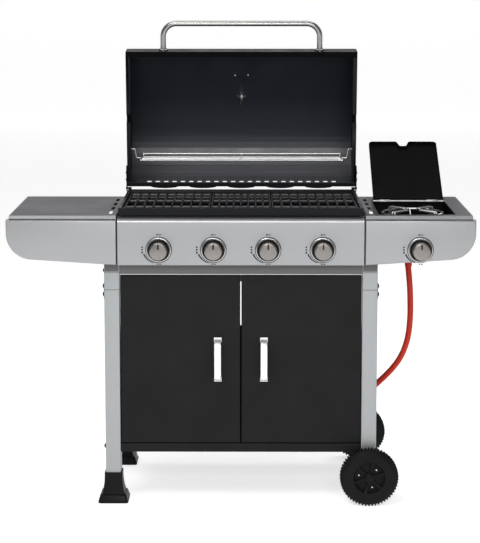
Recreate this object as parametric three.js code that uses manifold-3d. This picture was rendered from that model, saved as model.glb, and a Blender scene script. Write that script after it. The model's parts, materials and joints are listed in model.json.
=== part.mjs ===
// Gas barbecue grill on a two-wheeled cart, with its lid and its side-burner lid standing open.
// Millimetres, +Z up, front facing -Y. While the parts are made, Y = 0 is the front face of the
// control panel and Z = 0 is the ground; the whole grill is centred over the origin at the end.

import * as THREE from 'three';
import { mergeVertices } from 'three/addons/utils/BufferGeometryUtils.js';
import Module from 'manifold-3d';

const wasm = await Module();
wasm.setup();

// ---------------------------------------------------------------- driving dimensions

const GAP = 0.3;                // clearance kept between pieces that touch
const SHEET = 1.5;              // folded sheet metal

const HALF_WIDTH = 610;         // overall, at the side fascias
const PANEL_HALF = 320;         // control panel, and the inner faces of the legs
const PANEL_BOTTOM = 648;
const PANEL_TOP = 774;
const PANEL_BEND = 764;         // where the front face turns back into the top slope

const LEG = 40;                 // square tube
const LEG_TOP = 700;
const LEG_FRONT_Y = 48;         // front faces of the front and the rear legs
const LEG_REAR_Y = 392;
const LEG_CENTRE_X = PANEL_HALF + LEG / 2;

const FOOT_HEIGHT = 80;
const FOOT_BASE = 80;

const WHEEL_RADIUS = 77.5;
const WHEEL_WIDTH = 35;
const FRONT_WHEEL_Y = 3;        // front faces of the two wheels
const REAR_WHEEL_Y = 442;
const AXLE_RADIUS = 5;

const SHELF_BOTTOM = 136;
const SHELF_TOP = 159.5;
const DOOR_BOTTOM = 161;
const DOOR_TOP = 613.5;
const DOOR_Y = 50;
const DOOR_DEPTH = 16;
const DOOR_INNER_X = 1.5;
const DOOR_OUTER_X = 317;
const RAIL_BOTTOM = 614.6;
const RAIL_TOP = 647;
const REAR_PANEL_TOP = 399;

const BOX_HALF = 319.5;         // firebox rim
const BOX_FRONT = 25;
const BOX_BACK = 399;
const BOX_RIM = 796;
const BOX_WALL_X = 313;         // firebox walls below the rim
const BOX_WALL_FRONT = 74;
const BOX_WALL_BACK = 386;
const BOX_FLOOR = 612;

const GRATE_TOP = 790;
const GRATE_BAR = 6;
const GRATE_FRONT = 36;
const GRATE_BACK = 389;
const BURNER_X = [-213, -71, 71, 213];
const BURNER_Z = 716;
const BURNER_RADIUS = 11;

const KNOB_Z = 690;
const SIDE_KNOB_X = 466;
const KNOB_X = [...BURNER_X, SIDE_KNOB_X];
const STEM_RADIUS = 4;
const PIPE_Y = 36;
const PIPE_Z = 662;
const PIPE_RADIUS = 7;
const INLET = [454, 195, 650];  // where the gas hose screws on

const HINGE_Y = 407;            // main lid hinge axis
const HINGE_Z = 798;
const LID_OPEN = 84.5;          // degrees from closed
const LID_HALF = 320.3;
const LID_REAR = 5;             // the lid's rear wall, forward of the hinge axis
const LID_DEPTH = 384;
const LID_RIM = -1;             // the lid's rim, above the hinge axis
const RACK_U = 95;              // warming rack pivot, forward of the rear wall and above the rim
const RACK_V = 67;

const TABLE_TOP = 778;
const TABLE_BOTTOM = 740;
const TABLE_FRONT = 10;
const TABLE_BACK = 380;
const TABLE_INNER = 324;
const TABLE_OUTER = 602;
const SLOT_X = 342;
const SLOT_Y = [73, 151, 230, 308];

const BOWL = { x0: 360, x1: 560, y0: 34, y1: 294, floor: 716 };
const SIDE_HINGE_Y = 281;
const SIDE_HINGE_Z = 779;
const SIDE_LID_OPEN = 144.5;    // degrees from closed
const SIDE_BURNER = [460, 160];

const HOSE_RADIUS = 8;
// The hose hangs from the inlet, swings in between the right legs and lies on the bottom shelf.
const HOSE_ROUTE = [
  [454, 195, 631.5], [454, 195, 610], [457, 196, 580], [459.5, 197, 550], [461, 198, 515],
  [461.5, 200, 480], [460, 203, 445], [456, 207, 412], [448.5, 212, 382], [437, 217, 354],
  [421.5, 222, 329], [402.5, 227, 305.5], [381, 231, 283], [358, 235, 260.5], [335, 239, 238],
  [311, 242, 215.5], [286, 243.5, 195.5], [259, 243, 180], [231, 239, 170.5], [203, 229.5, 167.8],
  [179, 213, 167.8], [161.5, 191, 167.8], [152.5, 168, 167.8], [150.5, 150, 167.8],
  [150.5, 134, 167.8],
];

// ---------------------------------------------------------------- materials

const STEEL = { color: 0xb4b6b8, roughness: 0.42, metalness: 0.6 };
const BRUSHED = { color: 0x8a8a8d, roughness: 0.38, metalness: 0.85 };
const BLACK = { color: 0x29292b, roughness: 0.55, metalness: 0.1 };
const ENAMEL = { color: 0x1d1f24, roughness: 0.4, metalness: 0.1 };
const IRON = { color: 0x1e1e20, roughness: 0.7, metalness: 0.2 };
const CHROME = { color: 0xc8c8c6, roughness: 0.2, metalness: 1 };
const PLASTIC = { color: 0x232325, roughness: 0.6, metalness: 0 };
const RUBBER = { color: 0x252527, roughness: 0.8, metalness: 0 };
const NICKEL = { color: 0xa59e98, roughness: 0.35, metalness: 0.9 };
const BRASS = { color: 0xb08d4a, roughness: 0.35, metalness: 0.9 };
const SATIN = { color: 0xd0d1d2, roughness: 0.35, metalness: 0.5 };
const HOSE_RED = { color: 0xbe3223, roughness: 0.6, metalness: 0 };

// ---------------------------------------------------------------- geometry helpers

const radians = THREE.MathUtils.degToRad;

/** A closed geometry as a solid that can be joined and cut. */
function solid(geometry) {
  const bare = geometry.clone();
  bare.deleteAttribute('normal');
  bare.deleteAttribute('uv');
  const merged = mergeVertices(bare, 1e-4);
  return new wasm.Manifold(new wasm.Mesh({
    numProp: 3,
    vertProperties: new Float32Array(merged.attributes.position.array),
    triVerts: new Uint32Array(merged.index.array),
  }));
}

/** A solid back as a three.js geometry. */
function geometryOf(body) {
  const mesh = body.getMesh();
  const geometry = new THREE.BufferGeometry();
  geometry.setAttribute('position', new THREE.BufferAttribute(mesh.vertProperties, 3));
  geometry.setIndex(new THREE.BufferAttribute(mesh.triVerts, 1));
  const flat = geometry.toNonIndexed();
  flat.computeVertexNormals();
  return flat;
}

const join = (...bodies) => bodies.reduce((all, body) => all.add(body));
const cut = (body, ...tools) => tools.reduce((left, tool) => left.subtract(tool), body);

function box(x0, x1, y0, y1, z0, z1) {
  const geometry = new THREE.BoxGeometry(x1 - x0, y1 - y0, z1 - z0);
  return solid(geometry.translate((x0 + x1) / 2, (y0 + y1) / 2, (z0 + z1) / 2));
}

const ALONG_X = new THREE.Matrix4().set(0, 0, 1, 0, 1, 0, 0, 0, 0, 1, 0, 0, 0, 0, 0, 1);
const ALONG_Y = new THREE.Matrix4().set(1, 0, 0, 0, 0, 0, -1, 0, 0, 1, 0, 0, 0, 0, 0, 1);

function outline(points) {
  return new THREE.Shape(points.map(([a, b]) => new THREE.Vector2(a, b)));
}

function extruded(shape, depth, curveSegments = 6) {
  return new THREE.ExtrudeGeometry(shape, { depth, bevelEnabled: false, curveSegments });
}

/** Extrude a (y, z) outline from x0 to x1. */
function alongX(shape, x0, x1, curveSegments) {
  return solid(extruded(shape, x1 - x0, curveSegments).applyMatrix4(ALONG_X).translate(x0, 0, 0));
}

/** Extrude an (x, z) outline from y0 to y1. */
function alongY(shape, y0, y1, curveSegments) {
  return solid(extruded(shape, y1 - y0, curveSegments).applyMatrix4(ALONG_Y).translate(0, y1, 0));
}

/** Extrude an (x, y) outline from z0 to z1. */
function alongZ(shape, z0, z1, curveSegments) {
  return solid(extruded(shape, z1 - z0, curveSegments).translate(0, 0, z0));
}

/** A round bar of the given radius between two points. */
function bar(from, to, radius, sides = 12) {
  const start = new THREE.Vector3(...from);
  const span = new THREE.Vector3(...to).sub(start);
  const geometry = new THREE.CylinderGeometry(radius, radius, span.length(), sides);
  geometry.translate(0, span.length() / 2, 0);
  const turn = new THREE.Quaternion().setFromUnitVectors(new THREE.Vector3(0, 1, 0), span.normalize());
  geometry.applyQuaternion(turn);
  return solid(geometry.translate(start.x, start.y, start.z));
}

/** A tube along a smooth curve through the points. */
function tube(points, radius, sides, steps) {
  const path = new THREE.CatmullRomCurve3(points.map((point) => new THREE.Vector3(...point)));
  const section = new THREE.Shape();
  for (let i = 0; i < sides; i += 1) {
    const angle = (2 * Math.PI * i) / sides;
    section[i ? 'lineTo' : 'moveTo'](radius * Math.cos(angle), radius * Math.sin(angle));
  }
  section.closePath();
  return new THREE.ExtrudeGeometry(section, { steps, extrudePath: path, bevelEnabled: false });
}

/** A turned solid about Y from [radius, y] pairs that start and end on the axis. */
function turned(profile, segments) {
  return new THREE.LatheGeometry(profile.map(([r, y]) => new THREE.Vector2(r, y)), segments);
}

/** A solid through rectangles [x0, x1, y0, y1, z] that rise from the first to the last. */
function stacked(rectangles) {
  const positions = [];
  for (const [x0, x1, y0, y1, z] of rectangles) {
    positions.push(x0, y0, z, x1, y0, z, x1, y1, z, x0, y1, z);
  }
  const index = [0, 2, 1, 0, 3, 2];
  const last = 4 * (rectangles.length - 1);
  index.push(last, last + 1, last + 2, last, last + 2, last + 3);
  for (let ring = 0; ring < last; ring += 4) {
    for (let side = 0; side < 4; side += 1) {
      const a = ring + side;
      const b = ring + ((side + 1) % 4);
      index.push(a, b, b + 4, a, b + 4, a + 4);
    }
  }
  const geometry = new THREE.BufferGeometry();
  geometry.setAttribute('position', new THREE.Float32BufferAttribute(positions, 3));
  geometry.setIndex(index);
  return solid(geometry);
}

/** A rectangle with a corner radius at each of its four corners, from bottom left round. */
function roundedRectangle(x0, y0, x1, y1, radius) {
  const shape = new THREE.Shape();
  shape.moveTo(x0 + radius, y0);
  shape.lineTo(x1 - radius, y0);
  shape.absarc(x1 - radius, y0 + radius, radius, -Math.PI / 2, 0);
  shape.lineTo(x1, y1 - radius);
  shape.absarc(x1 - radius, y1 - radius, radius, 0, Math.PI / 2);
  shape.lineTo(x0 + radius, y1);
  shape.absarc(x0 + radius, y1 - radius, radius, Math.PI / 2, Math.PI);
  shape.lineTo(x0, y0 + radius);
  shape.absarc(x0 + radius, y0 + radius, radius, Math.PI, 1.5 * Math.PI);
  return shape;
}

function place(name, shape, look, parent) {
  const geometry = shape instanceof THREE.BufferGeometry ? shape : geometryOf(shape);
  const mesh = new THREE.Mesh(geometry, new THREE.MeshStandardMaterial(look));
  mesh.name = name;
  parent.add(mesh);
  return mesh;
}

// ---------------------------------------------------------------- cart

const grill = new THREE.Group();
const SIDES = { left: -1, right: 1 };

function leg(side, front, bottom) {
  const x0 = side * LEG_CENTRE_X - LEG / 2;
  const y0 = front;
  const tubeBody = cut(
    box(x0, x0 + LEG, y0, y0 + LEG, bottom, LEG_TOP),
    box(x0 + SHEET, x0 + LEG - SHEET, y0 + SHEET, y0 + LEG - SHEET, bottom - 1, LEG_TOP + 1),
  );
  if (side < 0) {
    return tubeBody;
  }
  const bore = AXLE_RADIUS + 0.5;
  return cut(tubeBody, bar([LEG_CENTRE_X, y0 - 1, WHEEL_RADIUS], [LEG_CENTRE_X, y0 + LEG + 1, WHEEL_RADIUS], bore));
}

/** A flared plastic foot with a socket that takes the end of its leg. */
function foot(centreY) {
  const x = -LEG_CENTRE_X;
  const square = (half, z) => [x - half, x + half, centreY - half, centreY + half, z];
  const base = FOOT_BASE / 2;
  const flare = stacked([
    square(base, 0), square(base, 5), square(base - 5, 19), square(28, 21), square(23.5, FOOT_HEIGHT),
  ]);
  const socket = LEG / 2 + GAP;
  return cut(flare, box(x - socket, x + socket, centreY - socket, centreY + socket, 24, FOOT_HEIGHT + 1));
}

for (const [end, front] of [['front', LEG_FRONT_Y], ['rear', LEG_REAR_Y]]) {
  place(`leg_${end}_left`, leg(-1, front, 26), STEEL, grill);
  place(`leg_${end}_right`, leg(1, front, 56), STEEL, grill);
  place(`foot_${end}_left`, foot(front + LEG / 2), PLASTIC, grill);
}

/** A sheet-metal tray, open below, that ties the legs together and carries the gas bottle. */
function bottomShelf() {
  const half = PANEL_HALF - GAP;
  const y0 = LEG_FRONT_Y + 2;
  const y1 = LEG_REAR_Y + LEG - 2;
  return cut(
    box(-half, half, y0, y1, SHELF_BOTTOM, SHELF_TOP),
    box(-half + SHEET, half - SHEET, y0 + SHEET, y1 - SHEET, SHELF_BOTTOM - 1, SHELF_TOP - SHEET),
  );
}

/** A C-shaped rail between two legs, open towards the inside of the cart. */
function topRail(y0, y1, openBack) {
  const half = PANEL_HALF - GAP;
  const inner0 = openBack ? y0 + SHEET : y0 - 1;
  const inner1 = openBack ? y1 + 1 : y1 - SHEET;
  return cut(
    box(-half, half, y0, y1, RAIL_BOTTOM, RAIL_TOP),
    box(-half - 1, half + 1, inner0, inner1, RAIL_BOTTOM + SHEET, RAIL_TOP - SHEET),
  );
}

place('bottom_shelf', bottomShelf(), BLACK, grill);
place('front_top_rail', topRail(DOOR_Y, DOOR_Y + 22, true), STEEL, grill);
place('rear_top_rail', topRail(LEG_REAR_Y + 16, LEG_REAR_Y + 38, false), STEEL, grill);

const backPlate = box(-PANEL_HALF + GAP, PANEL_HALF - GAP, 424, 424 + SHEET, SHELF_TOP + GAP, REAR_PANEL_TOP);
const backFold = box(-PANEL_HALF + GAP, PANEL_HALF - GAP, 412, 424.5, REAR_PANEL_TOP - SHEET, REAR_PANEL_TOP);
place('rear_panel', join(backPlate, backFold), BLACK, grill);

// ---------------------------------------------------------------- doors

/** A folded door pan with its bow handle; mirror = 1 hangs it on the right leg. */
function doorPan(mirror) {
  const [x0, x1] = mirror > 0 ? [DOOR_INNER_X, DOOR_OUTER_X] : [-DOOR_OUTER_X, -DOOR_INNER_X];
  return cut(
    box(x0, x1, DOOR_Y, DOOR_Y + DOOR_DEPTH, DOOR_BOTTOM, DOOR_TOP),
    box(x0 + SHEET, x1 - SHEET, DOOR_Y + SHEET, DOOR_Y + DOOR_DEPTH + 1, DOOR_BOTTOM + SHEET, DOOR_TOP - SHEET),
  );
}

function doorHandle(mirror) {
  const front = DOOR_Y - 32;
  const back = DOOR_Y - GAP;
  const strap = 6;
  const z0 = 329;
  const z1 = 447;
  const bow = outline([
    [back, z0], [back, z0 + 12], [front + strap + 10, z0 + 16], [front + strap, z0 + 26],
    [front + strap, z1 - 26], [front + strap + 10, z1 - 16], [back, z1 - 12], [back, z1],
    [front + 12, z1 - 4], [front, z1 - 20], [front, z0 + 20], [front + 12, z0 + 4],
  ]);
  return alongX(bow, mirror * 61 - 9, mirror * 61 + 9);
}

for (const [side, mirror] of Object.entries(SIDES)) {
  place(`${side}_door`, doorPan(mirror), BLACK, grill);
  place(`${side}_door_handle`, doorHandle(mirror), SATIN, grill);
}

// ---------------------------------------------------------------- wheels

/** A wheel turned about Y, its outer face recessed round a hub, centred on its own origin. */
function wheel() {
  const half = WHEEL_WIDTH / 2;
  const bore = AXLE_RADIUS + GAP;
  const profile = [
    [bore, -half + 1], [13, -half + 1], [15, -half + 9], [40, -half + 9], [42, -half], [66, -half],
    [WHEEL_RADIUS, -half + 7], [WHEEL_RADIUS, half - 7], [66, half], [42, half], [40, half - 9],
    [15, half - 9], [13, half - 1], [bore, half - 1], [bore, -half + 1],
  ];
  return turned(profile, 28);
}

for (const [end, front] of [['front', FRONT_WHEEL_Y], ['rear', REAR_WHEEL_Y]]) {
  const mesh = place(`${end}_wheel`, wheel(), RUBBER, grill);
  mesh.position.set(LEG_CENTRE_X, front + WHEEL_WIDTH / 2, WHEEL_RADIUS);
}

const axleStart = FRONT_WHEEL_Y - 2;
const axleEnd = REAR_WHEEL_Y + WHEEL_WIDTH + 2;
const axleAt = (y) => [LEG_CENTRE_X, y, WHEEL_RADIUS];
place('axle', join(
  bar(axleAt(axleStart), axleAt(axleEnd), AXLE_RADIUS),
  bar(axleAt(axleStart), axleAt(FRONT_WHEEL_Y + 1 - GAP), 9),
  bar(axleAt(axleEnd - 3 + GAP), axleAt(axleEnd), 9),
), BRUSHED, grill);

// ---------------------------------------------------------------- firebox

/** The tub: a thick rim, a ledge for the grates, walls that slope in to the grease opening. */
function firebox() {
  const outer = stacked([
    [-120, 120, 110, 350, BOX_FLOOR],
    [-BOX_WALL_X, BOX_WALL_X, BOX_WALL_FRONT, BOX_WALL_BACK, 682],
    [-BOX_WALL_X, BOX_WALL_X, BOX_WALL_FRONT, BOX_WALL_BACK, 775.5],
    [-BOX_HALF, BOX_HALF, BOX_FRONT, BOX_BACK, 775.5],
    [-BOX_HALF, BOX_HALF, BOX_FRONT, BOX_BACK, BOX_RIM],
  ]);
  const wall = 2;
  const inner = stacked([
    [-119, 119, 111, 349, BOX_FLOOR + wall],
    [-BOX_WALL_X + wall, BOX_WALL_X - wall, BOX_WALL_FRONT + wall, BOX_WALL_BACK - wall, 683],
    [-BOX_WALL_X + wall, BOX_WALL_X - wall, BOX_WALL_FRONT + wall, BOX_WALL_BACK - wall, 778],
    [-BOX_WALL_X + wall, BOX_WALL_X - wall, BOX_FRONT + 9, BOX_BACK - 8, 778],
    [-BOX_WALL_X + wall, BOX_WALL_X - wall, BOX_FRONT + 9, BOX_BACK - 8, BOX_RIM + 1],
  ]);
  const greaseHole = box(-90, 90, 150, 310, BOX_FLOOR - 1, BOX_FLOOR + wall + 1);
  const burnerHoles = BURNER_X.map((x) => bar([x, 70, BURNER_Z], [x, 80, BURNER_Z], BURNER_RADIUS + 1));
  const lugs = [];
  for (const side of [-1, 1]) {
    const near = side * 311;
    const far = side * BOX_HALF;
    lugs.push(box(Math.min(near, far), Math.max(near, far), 380, HINGE_Y + 4, 783, BOX_RIM));
    lugs.push(box(Math.min(near, far), Math.max(near, far), HINGE_Y - 3, HINGE_Y + 4, 783, HINGE_Z + 3));
    lugs.push(bar([side * 312, HINGE_Y, HINGE_Z], [side * 327, HINGE_Y, HINGE_Z], 3));
    const railNear = side * 113;
    const railFar = side * 115;
    const lipNear = side * 103;
    lugs.push(box(Math.min(railNear, railFar), Math.max(railNear, railFar), 112, 348, 584, BOX_FLOOR + 1));
    lugs.push(box(Math.min(lipNear, railFar), Math.max(lipNear, railFar), 112, 348, 582, 584));
  }
  return join(cut(outer, inner, greaseHole, ...burnerHoles), ...lugs);
}

place('firebox', firebox(), ENAMEL, grill);

/** A shallow pan on the two rails under the firebox, pulled out at the back. */
function greaseTray() {
  const pan = cut(
    box(-110, 110, 114, 346, 585, 606),
    box(-108.5, 108.5, 115.5, 344.5, 586.5, 607),
  );
  return join(pan, box(-60, 60, 345, 362, 600, 602));
}

place('grease_tray', greaseTray(), BRUSHED, grill);

/** Bars run front to back on lower cross ribs, inside a plain border. */
function grate(x0, x1, openings) {
  const bottom = GRATE_TOP - 11.5;
  const pitch = (x1 - x0 - GRATE_BAR) / openings;
  const bars = [];
  for (let i = 0; i <= openings; i += 1) {
    const x = x0 + i * pitch;
    bars.push(box(x, x + GRATE_BAR, GRATE_FRONT, GRATE_BACK, bottom, GRATE_TOP));
  }
  const ribs = [];
  for (const y of [105, 228, 343]) {
    ribs.push(box(x0 + 1, x1 - 1, y - 4, y + 4, bottom + 1, GRATE_TOP - 3));
  }
  ribs.push(box(x0 + 1, x1 - 1, GRATE_FRONT + 1, GRATE_FRONT + 8, bottom + 0.5, GRATE_TOP - 1));
  ribs.push(box(x0 + 1, x1 - 1, GRATE_BACK - 8, GRATE_BACK - 1, bottom + 0.5, GRATE_TOP - 1));
  return join(...bars, ...ribs);
}

place('grate_left', grate(-309.5, -81.3, 9), IRON, grill);
place('grate_middle', grate(-80.7, 80.7, 8), IRON, grill);
place('grate_right', grate(81.3, 309.5, 9), IRON, grill);

/** A stainless burner tube that slips over its valve through the firebox front wall. */
function burner(x) {
  const outer = bar([x, 57, BURNER_Z], [x, 372, BURNER_Z], BURNER_RADIUS, 14);
  return cut(outer, bar([x, 56, BURNER_Z], [x, 371, BURNER_Z], BURNER_RADIUS - 1.2, 14));
}

/** A ridged plate over each burner. */
function heatPlate(x) {
  const half = 56;
  const low = 738;
  const ridge = 758;
  const shape = new THREE.Shape();
  shape.moveTo(x - half, low);
  shape.lineTo(x - half + 8, low);
  shape.lineTo(x, ridge - 1.5);
  shape.lineTo(x + half - 8, low);
  shape.lineTo(x + half, low);
  shape.lineTo(x + half, low + 1.5);
  shape.lineTo(x + half - 8, low + 1.5);
  shape.lineTo(x, ridge);
  shape.lineTo(x - half + 8, low + 1.5);
  shape.lineTo(x - half, low + 1.5);
  return alongY(shape, BOX_WALL_FRONT + 3, BOX_WALL_BACK - 3);
}

BURNER_X.forEach((x, i) => {
  place(`burner_${i + 1}`, burner(x), BRUSHED, grill);
  place(`heat_plate_${i + 1}`, heatPlate(x), BRUSHED, grill);
});

// ---------------------------------------------------------------- control panel and gas line

/** Front face, sloping top and a fold at the bottom, in one sheet, with a hole for each stem. */
function controlPanel() {
  const sheet = alongX(outline([
    [34, PANEL_BOTTOM], [34, PANEL_BOTTOM + SHEET], [SHEET, PANEL_BOTTOM + SHEET],
    [SHEET, PANEL_BEND - 5.5], [2.4, PANEL_BEND - 2.6], [4.4, PANEL_BEND - 0.8],
    [24.6, PANEL_TOP - SHEET], [24.6, PANEL_TOP], [4, PANEL_BEND + 0.8], [1.2, PANEL_BEND - 1.6],
    [0, PANEL_BEND - 5], [0, PANEL_BOTTOM],
  ]), -PANEL_HALF, PANEL_HALF);
  return cut(sheet, ...BURNER_X.map((x) => bar([x, -2, KNOB_Z], [x, 4, KNOB_Z], 6.5, 16)));
}

place('control_panel', controlPanel(), STEEL, grill);

/** The pipe behind the panel, its valves and the elbow that ends in the hose nut. */
function gasManifold() {
  const [inletX, inletY, inletZ] = INLET;
  const corners = [[-300, PIPE_Y, PIPE_Z], [inletX, PIPE_Y, PIPE_Z], [inletX, inletY, PIPE_Z]];
  const pieces = [
    bar(corners[0], corners[1], PIPE_RADIUS, 10),
    bar(corners[1], corners[2], PIPE_RADIUS, 10),
    solid(new THREE.SphereGeometry(PIPE_RADIUS + 2, 10, 8).translate(...corners[1])),
    bar([inletX, inletY, PIPE_Z + 9], [inletX, inletY, inletZ], PIPE_RADIUS + 1, 10),
    bar([inletX, inletY, inletZ], [inletX, inletY, HOSE_ROUTE[0][2] + GAP], 11, 6),
  ];
  for (const x of BURNER_X) {
    pieces.push(box(x - 11, x + 11, 9, 44, PIPE_Z - 6, BURNER_Z + 8));
    pieces.push(bar([x, 43, BURNER_Z], [x, 66, BURNER_Z], 4, 8));
  }
  pieces.push(box(SIDE_KNOB_X - 11, SIDE_KNOB_X + 11, 9, 44, PIPE_Z + 2, 706));
  pieces.push(bar([SIDE_KNOB_X, 43, KNOB_Z], [SIDE_KNOB_X, 60, KNOB_Z], 4, 8));
  const bores = KNOB_X.map((x) => bar([x, 8, KNOB_Z], [x, 22, KNOB_Z], STEM_RADIUS + 0.6, 8));
  return cut(join(...pieces), ...bores);
}

place('gas_manifold', gasManifold(), BRASS, grill);

/** A knob about Y with a blind bore for its stem; its origin lies in the panel's front face. */
function knob() {
  return turned([
    [0, -37], [20.5, -37], [23, -34], [23, -16.5], [28, -10.5], [28, -6],
    [STEM_RADIUS + GAP, -6], [STEM_RADIUS + GAP, -24], [0, -24],
  ], 24);
}

KNOB_X.forEach((x, i) => {
  const stem = place(`knob_stem_${i + 1}`, bar([0, -23.7, 0], [0, 16, 0], STEM_RADIUS), BRASS, grill);
  stem.position.set(x, 0, KNOB_Z);
  const cap = place(`knob_${i + 1}`, knob(), NICKEL, grill);
  cap.position.set(x, 0, KNOB_Z);
});

// ---------------------------------------------------------------- side tables

function arcPoints(centreX, centreY, radius, from, to, steps) {
  return Array.from({ length: steps + 1 }, (_, i) => {
    const angle = radians(from + ((to - from) * i) / steps);
    return [centreX + radius * Math.cos(angle), centreY + radius * Math.sin(angle)];
  });
}

/** The front plate of a side table: a pan with one big round lower corner. */
function fascia(side) {
  const plate = (inset) => {
    const corner = arcPoints(542, 731, 68 - inset, 0, -90, 8);
    const inner = PANEL_HALF + 3 + inset;
    const points = [[inner, 767 - inset], [HALF_WIDTH - inset, 767 - inset], ...corner, [inner, 649 + inset]];
    return outline(points.map(([x, z]) => [side * x, z]));
  };
  return cut(alongY(plate(0), 0, 24), alongY(plate(SHEET), SHEET, 25));
}

/** A folded table top, open below, with a sloping nose over the fascia and four slots. */
function tableTop(side) {
  const across = (a, b) => [Math.min(side * a, side * b), Math.max(side * a, side * b)];
  const skin = outline([
    [4, 769], [31, 769], [31, TABLE_BOTTOM], [TABLE_BACK, TABLE_BOTTOM], [TABLE_BACK, TABLE_TOP],
    [TABLE_FRONT, TABLE_TOP], [4, 771.5],
  ]);
  const hollow = outline([
    [4 + SHEET, 760], [20, 760], [20, TABLE_BOTTOM - 5], [TABLE_BACK - SHEET, TABLE_BOTTOM - 5],
    [TABLE_BACK - SHEET, TABLE_TOP - SHEET], [TABLE_FRONT + 0.7, TABLE_TOP - SHEET], [4 + SHEET, 771],
  ]);
  const slots = SLOT_Y.map((y) => box(...across(SLOT_X - 4.5, SLOT_X + 4.5), y - 25, y + 25, 770, 780));
  return cut(
    alongX(skin, ...across(TABLE_INNER, TABLE_OUTER)),
    alongX(hollow, ...across(TABLE_INNER + SHEET, TABLE_OUTER - SHEET)),
    ...slots,
  );
}

const burnerOpening = box(BOWL.x0, BOWL.x1, BOWL.y0, BOWL.y1, 770, 780);
const sideStemHole = bar([SIDE_KNOB_X, -2, KNOB_Z], [SIDE_KNOB_X, 4, KNOB_Z], 6.5, 16);
place('left_table', tableTop(-1), BRUSHED, grill);
place('left_fascia', fascia(-1), STEEL, grill);
place('right_table', cut(tableTop(1), burnerOpening), BRUSHED, grill);
place('right_fascia', cut(fascia(1), sideStemHole), STEEL, grill);

// ---------------------------------------------------------------- side burner

/** A sloping-sided bowl hung under the table's opening, with lugs for the lid's rod. */
function sideBowl() {
  const { x0, x1, y0, y1, floor } = BOWL;
  const rim = TABLE_TOP - 1;
  const shell = (inset, low, high) => stacked([
    [x0 + 16 + inset, x1 - 16 - inset, y0 + 16 + inset, y1 - 16 - inset, low],
    [x0 + GAP + inset, x1 - GAP - inset, y0 + GAP + inset, y1 - GAP - inset, 756],
    [x0 + GAP + inset, x1 - GAP - inset, y0 + GAP + inset, y1 - GAP - inset, high],
  ]);
  const flange = box(x0 - 10, x1 + 10, y0 - 6, y1 + 10, rim - 3, rim - 1);
  const lug = (x) => box(x, x + SHEET, SIDE_HINGE_Y - 7, SIDE_HINGE_Y + 7, 768, 785);
  const bowl = cut(join(shell(0, floor, rim), flange), shell(SHEET, floor + SHEET, rim + 1));
  return cut(
    join(bowl, lug(x0 + 1), lug(x1 - 1 - SHEET)),
    bar([x0 - 1, SIDE_HINGE_Y, SIDE_HINGE_Z], [x1 + 1, SIDE_HINGE_Y, SIDE_HINGE_Z], 3.4),
    bar([...SIDE_BURNER, floor - 2], [...SIDE_BURNER, floor + 4], 10.5, 16),
  );
}

/** Burner head, its stem through the bowl and the venturi that reaches forward to the valve. */
function sideBurner() {
  const [x, y] = SIDE_BURNER;
  const head = turned([[0, 0], [26, 0], [38, 8], [38, 16], [30, 20], [0, 20]], 24).rotateX(Math.PI / 2);
  const venturi = join(
    solid(head.translate(x, y, 724)),
    bar([x, y, KNOB_Z], [x, y, 726], 9),
    bar([SIDE_KNOB_X, 49, KNOB_Z], [x, y + 6, KNOB_Z], 9),
  );
  return cut(venturi, bar([SIDE_KNOB_X + 0.1, 48, KNOB_Z], [SIDE_KNOB_X - 0.8, 66, KNOB_Z], 5, 8));
}

/** A wire ring on four legs, with bars that reach in over the burner. */
function panSupport() {
  const [x, y] = SIDE_BURNER;
  const ring = new THREE.TorusGeometry(80, 2.5, 6, 24).translate(x, y, 764);
  const wires = [solid(ring)];
  for (let i = 0; i < 4; i += 1) {
    const angle = radians(45 + 90 * i);
    const at = (radius, z) => [x + radius * Math.cos(angle), y + radius * Math.sin(angle), z];
    wires.push(bar(at(80, BOWL.floor + SHEET + GAP), at(80, 774), 2.5, 6));
    wires.push(bar(at(82, 773), at(24, 773), 2.5, 6));
  }
  return join(...wires);
}

place('side_burner_bowl', sideBowl(), ENAMEL, grill);
place('side_burner', sideBurner(), IRON, grill);
place('pan_support', panSupport(), CHROME, grill);
const rodEnd = BOWL.x1 - 0.5;
const rodStart = BOWL.x0 + 0.5;
place('side_lid_rod', bar(
  [rodStart, SIDE_HINGE_Y, SIDE_HINGE_Z],
  [rodEnd, SIDE_HINGE_Y, SIDE_HINGE_Z],
  3,
), CHROME, grill);

/** The closed lid lies forward of the hinge axis; a finger notch breaks its free edge. */
function sideLid() {
  const length = 243;
  const plan = (inset) => {
    const half = 96 - inset;
    const free = -length + inset;
    const notch = free + 19;
    return outline([
      [-half, -4 - inset], ...arcPoints(-half + 10, free + 10, 10, 180, 270, 3),
      [-21.5 - inset, free], [-11.5 - inset, notch], [11.5 + inset, notch], [21.5 + inset, free],
      ...arcPoints(half - 10, free + 10, 10, 270, 360, 3), [half, -4 - inset],
    ]);
  };
  const pan = cut(alongZ(plan(0), -5, 5.5), alongZ(plan(1.2), -6, 4));
  const knuckles = [-65, 65].map((x) => join(
    bar([x - 15, 0, 0], [x + 15, 0, 0], 5.5),
    box(x - 15, x + 15, -6, 0, 3.9, 5.4),
  ));
  return cut(join(pan, ...knuckles), bar([-100, 0, 0], [100, 0, 0], 3.3));
}

const sideLidMesh = place('side_burner_lid', sideLid(), BLACK, grill);
sideLidMesh.position.set((BOWL.x0 + BOWL.x1) / 2, SIDE_HINGE_Y, SIDE_HINGE_Z);
sideLidMesh.rotation.x = radians(-SIDE_LID_OPEN);

// ---------------------------------------------------------------- main lid

// The lid is made closed, in a group on its hinge axis, with -Y running to its front edge.
const lid = new THREE.Group();
lid.position.set(0, HINGE_Y, HINGE_Z);
lid.rotation.x = radians(-LID_OPEN);
grill.add(lid);

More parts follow.
